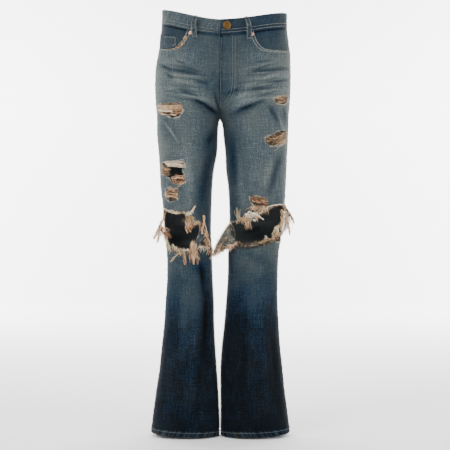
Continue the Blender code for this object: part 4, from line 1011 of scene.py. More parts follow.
def strip(name, run, rows, upper, depth, lift, thick, lap, roped, add):
    """A folded strip along a run of panels. lap sinks its end, and add gives how much paler each side is."""
    parts = []
    for part, (side, face, start, end, count) in enumerate(run):
        shares = np.linspace(start, end, count)[1 if parts else 0 :]
        down = np.linspace(0, depth, rows)[:, None]
        drops = upper(side, face, shares) + down
        shares = np.broadcast_to(shares, drops.shape)
        points, normals = on_cloth(side, face, drops, shares, normals=True)
        under = np.ones_like(shares) * (part > 3)
        if part == 3:
            under = np.clip((shares - LAP_FROM) / (1 - LAP_FROM), 0, 1)
        fade = wear_and_painted_light(side, face, drops, shares) + add[side] - 0.2 * (part > 3)
        # painted highlight on the lapped end's edge
        if lap and part == 0:
            fade = fade + END_HIGHLIGHT * np.exp(-(1 - shares) * PANEL_WIDTH / END_WIDE)
        parts.append((points, normals, fade, lap * ease(under), np.broadcast_to(down, drops.shape)))
    points, normals, fade, sink, down = (np.concatenate(values, axis=1) for values in zip(*parts))
    edge = np.minimum(down, depth - down)
    uv = cloth_uv(points, down)
    slant = roping(uv[..., 0] + 0.6 * down)
    lift = lift - sink - STRIP_ROUND * bell(edge, STRIP_EDGE) + STRIP_SWELL * lumps(points, SWELL_SIZE)
    lift += roped * ROPE_HIGH * slant * bell(edge - ROPE_IN, ROPE_WIDE)
    fade = fade + roped * (slant - 0.2) + 0.12 * bell(edge, STRIP_EDGE)
    outer, inner = points + normals * lift[..., None], points + normals * (lift - thick)[..., None]
    grime = 0.1 * np.clip(lumps(points, 50 * MM) + 0.3, 0, 1)
    add_sheet(name, outer, inner, uv, (DENIM, DENIM), fade=fade, grime=grime, raw=0 * fade)


lap = BAND_THICK + LAP_GAP
strip("waistband", BAND_RUN, 22, waist_drop, BAND_DEPTH, BAND_LIFT, BAND_THICK, lap, 0.05, BAND_FADE)
for side in (RIGHT, LEFT):
    run = ((side, FRONT, 0, 1, 120), (side, BACK, 1, 0, 120))
    top = lambda side, face, shares: hem_foot(shares) - HEM_DEPTH
    strip("hem_" + LEG_NAMES[side], run, 12, top, HEM_DEPTH, HEM_LIFT, HEM_THICK, 0, 0.22, HEM_FADE)

# %% [markdown]
# ## Belt loops
# A loop is a narrow strap with both raw edges folded to its back and two rows of stitching, tacked at both
# ends, so that a belt slides behind it. Its middle rises over the folds and its ends are drawn down.

# %% Loops
LOOP_ROWS = {  # side, face, x in mm, and how many mm it leans
    "front_right": (RIGHT, FRONT, -72, 0),
    "front_left": (LEFT, FRONT, 55, 5),
    "back_right": (RIGHT, BACK, -66, 0),
    "back_left": (LEFT, BACK, 54, 0),
    "back_middle": (RIGHT, BACK, -8, 0),
}
LOOP_WIDTH, LOOP_LENGTH, LOOP_THICK, LOOP_STAND, LOOP_TACK, LOOP_RISE = (v * MM for v in (12, 54, 2, 9, 5, 8))
LOOP_CROWN, LOOP_GROOVE = 0.4 * MM, 0.5 * MM
LOOP_FADE = {RIGHT: 0.44, LEFT: 0.36}
LOOP_GRID = (48, 14)
STRAPS = {}


def strap(side, face, x, lean):
    """A loop's outer points and the way it faces."""
    shares = np.linspace(0, 1, 201)
    drops = waist_drop(side, face, shares) + BAND_DEPTH / 2
    row = on_cloth(side, face, drops, shares, BAND_LIFT)
    nearest = int(np.abs(row[:, 0] - x * MM).argmin())
    share, middle = shares[nearest], Vector(row[nearest])
    normal = Vector(on_cloth(side, face, drops[nearest], share, BAND_LIFT + MM)) - middle
    normal.z = 0
    normal.normalize()
    across = Vector((0, 0, 1)).cross(normal)
    top = waist_drop(side, face, share)
    head = Vector(on_cloth(side, face, top, share, BAND_LIFT))
    foot = Vector(on_cloth(side, face, top + LOOP_LENGTH, share))
    low = max(0.0, (head - middle).dot(normal)) + SEAM_GAP
    foot_low = max(low, (foot - middle).dot(normal) + SEAM_GAP)
    bend = LOOP_TACK + LOOP_RISE
    knots = (0, LOOP_TACK, bend, LOOP_LENGTH - bend, LOOP_LENGTH - LOOP_TACK, LOOP_LENGTH)
    down, wide = np.linspace(0, LOOP_LENGTH, LOOP_GRID[0])[:, None], np.linspace(-1, 1, LOOP_GRID[1])
    heights = (low, low, low + LOOP_STAND, low + LOOP_STAND, foot_low, foot_low)
    out = smooth(down, np.array(knots), np.array(heights))
    out = out + LOOP_THICK + LOOP_CROWN * (1 - wide**4) - LOOP_GROOVE * bell(np.abs(wide) - 0.55, 0.12)
    shift = lean * MM * (down / LOOP_LENGTH - 0.5) * face
    points = np.array(middle) + out[..., None] * np.array(normal)
    points += (wide * LOOP_WIDTH / 2 - shift)[..., None] * np.array(across)
    points[..., 2] = -top - down
    return points, np.array(normal)


for name, (side, face, x, lean) in LOOP_ROWS.items():
    outer, normal = STRAPS[name] = strap(side, face, x, lean)
    inner = outer - normal * LOOP_THICK
    inner[..., 2] = outer[..., 2]
    edge = np.abs(np.linspace(-1, 1, LOOP_GRID[1])) ** 6
    fade = LOOP_FADE[side] + 0.32 * edge + 0.3 * lumps(outer, 5 * MM)
    looks = {"fade": fade, "grime": 0.05 + 0 * fade, "raw": 0 * fade}
    uv = cloth_uv(outer, -outer[..., 2])
    add_sheet("belt_loop_" + name, outer, inner, uv, (DENIM, DENIM), held="stretched", **looks)

# %% [markdown]
# ## Finding a place from the drawing
# Stitches at curved edges and loose threads were measured on the drawing, so a sight line from the eye finds
# where each lies on the cloth. Past a leg's outline the line would miss: there the nearest place inside
# is taken and the rest of the way is added sideways, so threads can stick out of the outline.

# %% Sight lines
UNCUT_GRID = (240, 60)
EYE = Vector((0, -EYE_DISTANCE, -EYE_DROP))
RIM = 1.5 * MM  # sight lines stay this far inside a leg's outline


def uncut(side, face):
    """A panel without its cuts, for sight lines to meet, and how far out it is drawn at each height."""
    drops, shares = panel_grid(UNCUT_GRID, lambda s: 0 * s, hem_foot)
    points = on_cloth(side, face, drops, shares).reshape(-1, 3)
    flat = drawn(face, points).reshape(drops.shape + (2,))
    heights = flat[..., 1].mean(axis=1)[::-1]
    reach = [flat[..., 0].min(axis=1)[::-1], flat[..., 0].max(axis=1)[::-1]]
    quads = grid_quads(*drops.shape).reshape(-1, 4)
    return BVHTree.FromPolygons(points.tolist(), quads.tolist()), heights, reach


UNCUT = {(side, face): uncut(side, face) for side in (RIGHT, LEFT) for face in (FRONT, BACK)}


def place(side, face, x, z, lift=0.0):
    """The place on the cloth drawn at x, z in metres, raised by lift, and the way the cloth faces there."""
    tree, heights, (lows, highs) = UNCUT[side, face]
    inside = min(max(x, np.interp(z, heights, lows) + RIM), np.interp(z, heights, highs) - RIM)
    start = EYE if face == FRONT else Vector((inside, 1, z))
    way = Vector((inside, 0, z)) - EYE if face == FRONT else Vector((0, -1, 0))
    spot, normal, _, _ = tree.ray_cast(start, way)
    if spot is None:
        return None, None
    normal = normal if normal.y * face > 0 else -normal
    return spot + normal * lift + Vector((x - inside, 0, 0)), normal


print("place on the left thigh:", [round(v / MM) for v in place(LEFT, FRONT, 0.08, -0.3)[0]])

# %% [markdown]
# ## Stitches
# Jeans are sewn with heavy thread, here 5 stitches to 2 centimetres. Each stitch is a short bar that dips
# into the cloth at both ends, with a tone of its own. A texture could draw the rows, but separate bars catch
# the light and stay sharp close up. They are 1 mm wide, a bit over the real thread.

# %% Threads and rows
STITCH, STITCH_PITCH, STITCH_HALF = 3.0 * MM, 3.9 * MM, 0.5 * MM
STITCH_RINGS = np.array((-1, -0.55, 0.55, 1))  # as shares of half a stitch, with its swell at each
STITCH_SWELL = np.array((0.35, 1, 1, 0.35))
STITCH_SINK, STITCH_RISE = 0.1 * MM, 0.35 * MM  # off the cloth at its ends, and how much more in the middle
TONE_SPREAD = 0.2  # how far a stitch's tone is from its row's
ROW_STEP = 4  # mm between the points of a row that follows the drawing


def ring_quads(index):
    """Faces between each ring of points and the next."""
    near, far = index[..., :-1, :], index[..., 1:, :]
    quads = np.stack([near, np.roll(near, -1, -1), np.roll(far, -1, -1), far], axis=-1)
    return quads.reshape(-1, 4).tolist()


def tube_mesh(name, bundles, sides):
    """Closed tubes. A bundle has paths, half widths at their stations, two ways across, tones and tints."""
    points, faces, tones, tints, count = [], [], [], [], 0
    turn = np.arange(sides) * 2 * np.pi / sides
    for paths, halves, aside, out, tone, tint in bundles:
        ring = aside[:, :, None] * np.cos(turn)[:, None] + out[:, :, None] * np.sin(turn)[:, None]
        rings = paths[:, :, None] + ring * halves[None, :, None, None]
        index = count + np.arange(rings[..., 0].size).reshape(rings.shape[:3])
        faces += ring_quads(index) + index[:, 0, ::-1].tolist() + index[:, -1].tolist()
        points.append(rings.reshape(-1, 3))
        tones.append(np.repeat(tone, index[0].size))
        tints.append(np.repeat(tint, index[0].size))
        count += index.size
    tones, tints = np.concatenate(tones), np.concatenate(tints)
    return smooth_mesh(name, np.concatenate(points), faces, tone=tones, tint=tints)


def run_of(line):
    """How far along a line each of its points is."""
    return np.concatenate([[0], np.cumsum(np.linalg.norm(np.diff(line, axis=0), axis=1))])


def at_run(line, run, at):
    """What a line's columns are at the given distances along it."""
    return np.stack([np.interp(at, run, column) for column in np.transpose(line)], axis=-1)


def sew(name, rows, carrier, tone):
    """Bars along rows of points with normals, as one piece."""
    chance = np.random.default_rng(len(name) * 7 + len(rows))
    bundles = []
    for line, normals in rows:
        line = np.array(line)
        run = run_of(line)
        at = np.arange(STITCH_PITCH / 2, run[-1], STITCH_PITCH)
        middle, out = at_run(line, run, at), at_run(np.array(normals), run, at)
        ahead = at_run(line, run, np.minimum(at + MM, run[-1])) - middle
        ahead = np.where((at + MM <= run[-1])[:, None], ahead, middle - line[-2])
        ahead /= np.maximum(np.linalg.norm(ahead, axis=1), 1e-9)[:, None]
        rise = (STITCH_SINK + STITCH_RISE * STITCH_SWELL)[:, None]
        paths = middle[:, None] + ahead[:, None] * STITCH_RINGS[:, None] * STITCH / 2 + out[:, None] * rise
        tones = tone + chance.uniform(-TONE_SPREAD, TONE_SPREAD, len(at))
        across = np.cross(ahead, out)[:, None]
        bundles.append((paths, STITCH_HALF * STITCH_SWELL, across, out[:, None], tones, np.full(len(at), 0.5)))
    add_piece(name, tube_mesh(name, bundles, 4), (THREAD,), ())
    print(f"{name}: {sum(len(bundle[0]) for bundle in bundles)} stitches on {carrier}")


def along_cloth(side, face, drops, shares, lift):
    """A row over given drops and shares."""
    return on_cloth(side, face, *np.broadcast_arrays(drops, shares), lift, normals=True)


def along_drawing(side, face, corners, lift):
    """A row through drawn corners in millimetres."""
    run = run_of(np.array(corners, dtype=float))
    row = at_run(corners, run, np.arange(0, run[-1], ROW_STEP)) * MM
    spots = [place(side, face, x, z, lift) for x, z in row]
    spots = [pair for pair in spots if pair[0] is not None]
    return [spot for spot, _ in spots], [normal for _, normal in spots]


def shrunk(outline, by):
    """An outline's corners moved towards its middle by so many millimetres."""
    corners = np.array(outline, dtype=float)
    away = corners - corners.mean(axis=0)
    return corners.mean(axis=0) + away * (1 - by / np.linalg.norm(away, axis=1))[:, None]


# %% Stitch rows
BAND_ROWS, BAND_SHOWN = (26, 33), 0.93  # mm below the band's top, and where the lapped end hides them
HEM_ROW, INSEAM_TOP, INSEAM_FOOT = 11 * MM, CROTCH_DROP + 12 * MM, 1035 * MM
INSEAM_ROWS = ((FRONT, 6, 0.7), (FRONT, 12, 0.7), (BACK, 5, 0.9))  # the face, mm from the seam, and mm up
MOUTH_ROWS = ((3, 0), (9, 3))  # mm outwards and down from the mouth
POCKET_ROWS, YOKE_ROWS, FLY_ROWS, SEAT_ROWS = (5, 13), (4, 10), (4, 10), (3, 9)  # mm from the edge
COIN_ROW = 3
FLY_DROP = 0.6  # a row on the fly's curve rises this share of what it moves inwards
FLY_EDGE = ((-9.5, -60), (-10.5, -150), (-10, -236))
SEAT_SPARE = 8 * MM  # kept clear at both ends of the seat seam
TOP_LIFT, MOUTH_LIFT, HEM_ROW_LIFT, SEAT_LIFT, YOKE_ROW_LIFT = (v * MM for v in (0.2, 0.3, 0.5, 0.8, 1.0))
TACK_LIFT = 0.4 * MM  # the tacks lie over the rows
THREAD_TONES = {  # how pale the thread is
    "band": {RIGHT: 0.1, LEFT: 0.4}, "hem": -0.45, "inseam": 0.25, "mouth": 0.6, "pocket": 0.55, "yoke": 0.55,
    "fly curve": -0.3, "fly edge": 0.15, "coin pocket": 0.35, "seat": 0.5, "loops": 0.15,
}
SEAM = np.linspace(0, 1, 160)
for side in (RIGHT, LEFT):
    leg = LEG_NAMES[side]
    rows = []
    for face in (FRONT, BACK):
        shown = SEAM[SEAM < (BAND_SHOWN if side == RIGHT and face == FRONT else 2)]
        top = waist_drop(side, face, shown)
        rows += [along_cloth(side, face, top + down * MM, shown, BAND_LIFT + TOP_LIFT) for down in BAND_ROWS]
    sew(f"stitches_band_{leg}", rows, "the waistband", THREAD_TONES["band"][side])
    hem_drops = hem_foot(SEAM) - HEM_ROW
    rows = [along_cloth(side, face, hem_drops, SEAM, HEM_LIFT + HEM_ROW_LIFT) for face in (FRONT, BACK)]
    sew(f"stitches_hem_{leg}", rows, "the hem", THREAD_TONES["hem"])
    inseam = INSEAM_TOP + SEAM * (INSEAM_FOOT - INSEAM_TOP)
    rows = []
    for face, away, up in INSEAM_ROWS:
        rows.append(along_cloth(side, face, inseam, 1 - away * MM / PANEL_WIDTH, up * MM))
    sew(f"stitches_inseam_{leg}", rows, "the inseam", THREAD_TONES["inseam"])
    curves = [[(x - side * out, z - down) for x, z in MOUTHS[side]] for out, down in MOUTH_ROWS]
    rows = [along_drawing(side, FRONT, curve, MOUTH_LIFT) for curve in curves]
    sew(f"stitches_mouth_{leg}", rows, "the pocket mouth", THREAD_TONES["mouth"])
    pocket, lift = [BACK_POCKETS[side][k] for k in (1, 2, 3, 4, 0)], SEAM_GAP + CLOTH + TOP_LIFT
    rows = [along_drawing(side, BACK, shrunk(pocket, by)[[0, 1, 2, 3, 4, 0]], lift) for by in POCKET_ROWS]
    sew(f"stitches_back_pocket_{leg}", rows, "the back pocket", THREAD_TONES["pocket"])
    foot = yoke_foot(side, BACK, SEAM)
    rows = [along_cloth(side, BACK, foot - up * MM, SEAM, YOKE_ROW_LIFT) for up in YOKE_ROWS]
    sew(f"stitches_yoke_{leg}", rows, "the yoke", THREAD_TONES["yoke"])
lift = SEAM_GAP + FACING + TOP_LIFT
curves = [[(x - off, z + off * FLY_DROP) for x, z in FLY[1:6]] for off in FLY_ROWS]
rows = [along_drawing(LEFT, FRONT, curve, lift) for curve in curves]
sew("stitches_fly_curve", rows, "the fly's curve", THREAD_TONES["fly curve"])
rows = [along_drawing(LEFT, FRONT, FLY_EDGE, lift + MOUTH_LIFT)]
sew("stitches_fly_edge", rows, "the fly's edge", THREAD_TONES["fly edge"])
rows = [along_drawing(RIGHT, FRONT, shrunk(COIN_POCKET, COIN_ROW)[:4], FACING - CLOTH + TOP_LIFT)]
sew("stitches_coin_pocket", rows, "the coin pocket", THREAD_TONES["coin pocket"])
seat_top = yoke_foot(RIGHT, BACK, 1.0) + SEAT_SPARE
seat = seat_top + SEAM * (CROTCH_DROP - SEAT_SPARE - seat_top)
rows = [along_cloth(RIGHT, BACK, seat, 1 - away * MM / PANEL_WIDTH, SEAT_LIFT) for away in SEAT_ROWS]
sew("stitches_seat", rows, "the seat seam", THREAD_TONES["seat"])
rows = []
for outer, normal in STRAPS.values():
    normals = np.tile(normal, (LOOP_GRID[0], 1))
    rows += [(outer[:, k] + normal * TOP_LIFT, normals) for k in (2, LOOP_GRID[1] - 3)]
    for end in (2, LOOP_GRID[0] - 3):
        rows += [(outer[end + k % 2, 2:-2] + normal * TACK_LIFT, normals[: LOOP_GRID[1] - 4]) for k in range(2)]
sew("stitches_loops", rows, "the belt loops", THREAD_TONES["loops"])

# %% [markdown]
# ## Button and rivets
# The shank button is a stamped brass cap rolled over a dished face, and the rivets are copper with a raised
# burr. Both are turned profiles, placed on the middle and the axis of their solids. They carry plain rings
# only. The button stays fastened, as it is worn.

# %% Turned metal
BUTTON_RINGS = (  # share of the radius and of the height, from the middle out
    (0, 0.8), (0.1, 0.82), (0.16, 0.76), (0.28, 0.74), (0.34, 0.8), (0.42, 0.74), (0.6, 0.74), (0.66, 0.78),
    (0.72, 0.76), (0.8, 0.9), (0.88, 1.0), (0.96, 0.97), (1.0, 0.85), (0.97, 0.66), (0.88, 0.56), (0.42, 0.46),
    (0.38, 0.1), (0.36, 0.0), (0, 0),
)
RIVET_RINGS = (
    (0, 1.0), (0.2, 0.98), (0.3, 0.85), (0.36, 0.62), (0.5, 0.55), (0.62, 0.6), (0.8, 0.56), (0.93, 0.42),
    (1.0, 0.15), (0.99, 0), (0, 0),
)
TURN_STEPS = 64
TURNED = {"button": (BUTTON_RINGS, BRASS, "brass"), "rivet_right": (RIVET_RINGS, COPPER, "copper"),
          "rivet_left": (RIVET_RINGS, COPPER, "copper")}
for name, (rings, finish, slot) in TURNED.items():
    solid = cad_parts[name]
    spots = np.array([solid.matrix_world @ v.co for v in solid.data.vertices])
    middle = (spots.max(axis=0) + spots.min(axis=0)) / 2
    axis = np.linalg.svd(spots - spots.mean(axis=0))[2][2]  # the way in which the solid is thinnest
    axis = axis if axis[1] < 0 else -axis
    heights = (spots - middle) @ axis
    away = spots - middle - heights[:, None] * axis
    radius, low, high = np.linalg.norm(away, axis=1).max(), heights.min(), heights.max()
    aside = np.cross(axis, (0, 0, 1.0))
    aside /= np.linalg.norm(aside)
    turn = np.linspace(0, 2 * np.pi, TURN_STEPS, endpoint=False)[:, None]
    circle = np.cos(turn) * aside + np.sin(turn) * np.cross(aside, axis)
    points = [middle + axis * (low + (high - low) * h) + circle * radius * r for r, h in rings]
    faces = ring_quads(np.arange(len(rings) * TURN_STEPS).reshape(-1, TURN_STEPS))
    add_piece(name + "_worn", smooth_mesh(name, points, faces), (finish,), [name])
    print(name, "radius", round(radius / MM, 1), "mm")

# %% [markdown]
# ## The torn tongue at the left knee
# The cloth that covered the left knee has torn free on three sides. It hangs by its inner edge and has
# turned over between the legs, so its pale wrong side shows, with raw brown edges that have lost threads.

# %% Tongue
FLAP_ROWS = (  # x, its upper and its lower edge, and how far forward it lies
    (25, -548, -574, -43.4), (20, -531, -577, -47), (14, -520, -580, -47), (6, -528, -585, -45),
    (-2, -541, -588, -42), (-10, -554, -592, -38), (-18, -568, -598, -33), (-25, -584, -602, -30),
    (-30, -596, -604, -28),
)
FLAP_CURL = (0, 2.5, 3.5, 2, -2)  # mm forward, from its upper to its lower edge
HOLE_SHADE_X, HOLE_SHADE_HALF, HOLE_SHADE_FOOT = 19, 5, 0.55  # painted shade standing for a worn hole near its root, in mm and as a share
FLAP_GRID = (44, 72)
FLAP_X, FLAP_HIGH, FLAP_LOW, FLAP_FORWARD = np.array(sorted(FLAP_ROWS), dtype=float).T
across = np.linspace(FLAP_X[0], FLAP_X[-1], FLAP_GRID[1])
upper, lower, forward = (np.interp(across, FLAP_X, edge) for edge in (FLAP_HIGH, FLAP_LOW, FLAP_FORWARD))
notch = 1.6 * np.sin(across * 1.9) + 1.2 * np.sin(across * 3.7 + 1)
down = np.linspace(0, 1, FLAP_GRID[0])[:, None]
edge_high, edge_low = upper + notch * 0.6, lower + notch * np.clip((25 - across) / 20, 0, 1) - 1
z = edge_high + (edge_low - edge_high) * down
curl = np.interp(down, np.linspace(0, 1, len(FLAP_CURL)), FLAP_CURL)
ripple = 1.2 * np.sin(across * 0.33 + down * 4) + 0.8 * np.sin(across * 0.9 - down * 3)
outer = np.stack([np.broadcast_to(across, z.shape), forward - curl - ripple, z], axis=2) * MM
inner = outer + np.array((0, CLOTH, 0))
from_edge = np.minimum(np.minimum(z - edge_low, edge_high - z), across - across[0] + 2) * MM
raw = np.clip(0.7 * np.exp(-np.abs(from_edge) / (1.2 * MM)) + 0.7 * lumps(outer, 3.5 * MM) - 0.1, 0, 0.8)
hole_shade = np.exp(-(((across - HOLE_SHADE_X) / HOLE_SHADE_HALF) ** 4)) * (down < HOLE_SHADE_FOOT)
# the worn hole is painted dark as shade, without stains
fade = 0.35 + 0.6 * lumps(outer, 5 * MM) - 1.2 * hole_shade
looks = {"fade": fade, "grime": 0.25 * (1 - hole_shade), "raw": raw}
uv = cloth_uv(outer, -outer[..., 2])
add_sheet("flap", outer, inner, uv, (WRONG_SIDE, DENIM), node="flap_knee_left", held="hung", **looks)

# %% [markdown]
# ## Loosened weft
# Where denim tears, the short blue warp falls out and the long undyed weft stays: as threads across the gap,
# as fringes, and as ropes where washing has rolled them together. A hair system would be quick but can't be
# steered thread by thread, so each tuft is a row in a table: where its roots run, how many threads it has,
# which way they lie, how long they are, how far they wander and stand off, and how pale and how pink or
# olive they are. Real yarn is 0.4 mm thick. It is drawn at 1 mm, so that single threads still show. Where the
# knee tears meet the side seams, a short fringe of threads hangs along the seam itself.

# %% Thread makers
YARN_HALF = 0.5 * MM
YARN_SIDES, YARN_STATIONS = 3, 8
YARN_LEAST = 0.2  # mm that a thread stays off the cloth
TWIST_WAY = (0.3, 0.9, 0.2)  # a way that few threads run in, to turn their sides from
NO_LENGTH = 1e-12
ROOT_STRAY = 1.2  # mm that a fringe's roots stray from their route
WAVES, WAVE_START = (3, 9), 0.6  # how fast a thread winds, and how soon its winding starts
LEAST_HIGH, FOOT_OFF, OFF_WAVE, WAVE_RATIO = 0.15, 0.3, 0.3, 1.3  # how a fringe stands off the cloth
ARCH = (0.1, 0.75)  # the part of an arch that a thread's rise follows, in half turns
TIP_TAPER = 0.35
ROPE_STEP, ROPE_BENDS, ROPE_BEND = 1.3, (3.1, 2.3), 0.12  # mm, mm, and a share of its girth
STRAND_AWAY, STRAND_TURN, STRAND_HIGH = (0.2, 1.0), 0.7, 0.4  # strands in a rope, by its girth
TONE_DRIFT, TONE_NOISE, TONE_ENDS, TINT_NOISE = 0.3, 0.42, (-0.3, 1.4), 0.12


def tubes(name, bundles, nodes):
    """Threads as one piece. A bundle has paths by station, half widths by station, tones and tints."""
    turned = []
    for paths, halves, tone, tint in bundles:
        ahead = np.gradient(paths, axis=1)
        ahead /= np.linalg.norm(ahead, axis=2)[..., None] + NO_LENGTH
        aside = np.cross(ahead, TWIST_WAY)
        aside /= np.linalg.norm(aside, axis=2)[..., None] + NO_LENGTH
        turned.append((paths, halves, aside, np.cross(ahead, aside), tone, tint))
    add_piece(name + "_worn", tube_mesh(name, turned, YARN_SIDES), (WEFT,), nodes)
    print(f"{name}: {sum(len(bundle[0]) for bundle in bundles)} threads")


def sideways(way):
    """A flat way turned by a right angle."""
    return np.stack([-way[:, 1], way[:, 0]], axis=1)


def fringe(chance, spot_at, route, count, toward, reach, spread, wave, lift, tone, tint):
    """Threads that leave a route of roots in one general way."""
    at = (np.arange(count) + chance.uniform(0, 1, count)) / count
    run = run_of(route)
    roots = at_run(route, run, at * run[-1]) + chance.normal(0, ROOT_STRAY, (count, 2))
    angle = math.atan2(toward[1], toward[0]) + chance.normal(0, spread, count)
    way = np.stack([np.cos(angle), np.sin(angle)], axis=1)
    length, phase, rate = (chance.uniform(*ends, (count, 1)) for ends in (reach, (0, 2 * np.pi), WAVES))
    height = lift * chance.uniform(LEAST_HIGH, 1.0, (count, 1))
    stations = np.linspace(0, 1, YARN_STATIONS)
    swing = wave * np.sin(rate * stations + phase) * stations**WAVE_START
    flat = roots[:, None] + way[:, None] * (length * stations)[..., None]
    flat += sideways(way)[:, None] * swing[..., None]
    off = FOOT_OFF + height * np.sin(np.pi * (ARCH[0] + ARCH[1] * stations))
    off += OFF_WAVE * wave * np.cos(rate * stations * WAVE_RATIO + phase)
    return keep_found(chance, spot_at, flat, off, YARN_HALF * (1 - TIP_TAPER * stations), at, tone, tint)


def rope(chance, spot_at, route, count, girth, lift, tone, tint):
    """Threads rolled together along a route."""
    run = run_of(route)
    length = run[-1]
    stations = np.linspace(0, 1, max(4, int(length / ROPE_STEP)))
    long_bend, short_bend = (stations * length / pitch for pitch in ROPE_BENDS)
    bend = np.stack([np.sin(long_bend), np.cos(short_bend)], axis=1)
    middle = at_run(route, run, stations * length) + bend * girth * ROPE_BEND
    ahead = np.gradient(middle, axis=0)
    ahead /= np.linalg.norm(ahead, axis=1)[:, None]
    phase, away = (chance.uniform(*ends, (count, 1)) for ends in ((0, 2 * np.pi), STRAND_AWAY))
    angle = phase + stations * length / (girth * STRAND_TURN) + 0.5 * np.sin(stations * 9 + phase)
    swell = girth / 2 * away * (0.75 + 0.25 * np.sin(stations * length / 5 + 1))
    flat = middle + sideways(ahead) * (swell * np.cos(angle))[..., None]
    off = lift + girth * STRAND_HIGH + swell * np.sin(angle)
    at = chance.uniform(0, 1, count)
    return keep_found(chance, spot_at, flat, off, YARN_HALF * np.ones(len(stations)), at, tone, tint)


def keep_found(chance, spot_at, flat, off, halves, at, tone, tint):
    """Threads put on the cloth, without those whose sight line finds none."""
    paths, kept = [], []
    for k, (line, heights) in enumerate(zip(flat * MM, np.maximum(off, YARN_LEAST) * MM)):
        spots = [spot_at(x, z, height) for (x, z), height in zip(line, heights)]
        if all(spot is not None for spot in spots):
            paths.append(spots)
            kept.append(k)
    level = 0.5 + TONE_DRIFT * np.sin(at[kept] * 9 + tone[0] * 20) + chance.normal(0, TONE_NOISE, len(kept))
    tones = tone[0] + (tone[1] - tone[0]) * np.clip(level, *TONE_ENDS)
    return np.array(paths), halves, tones, tint + chance.normal(0, TINT_NOISE, len(kept))


def tuft(chance, spot_at, fringes, ropes):
    """All the threads of a tuft."""
    return [fringe(chance, spot_at, *row) for row in fringes] + [rope(chance, spot_at, *row) for row in ropes]


# %% Tufts
PINK, OLIVE, PLAIN = 0.85, 0.15, 0.5
KNEE_FOOT = ((26, -572), (52, -580), (76, -577), (100, -571), (120, -564))  # the left knee tear's lower edge
UNDER_FOOT = tuple((x, z - 2) for x, z in KNEE_FOOT)
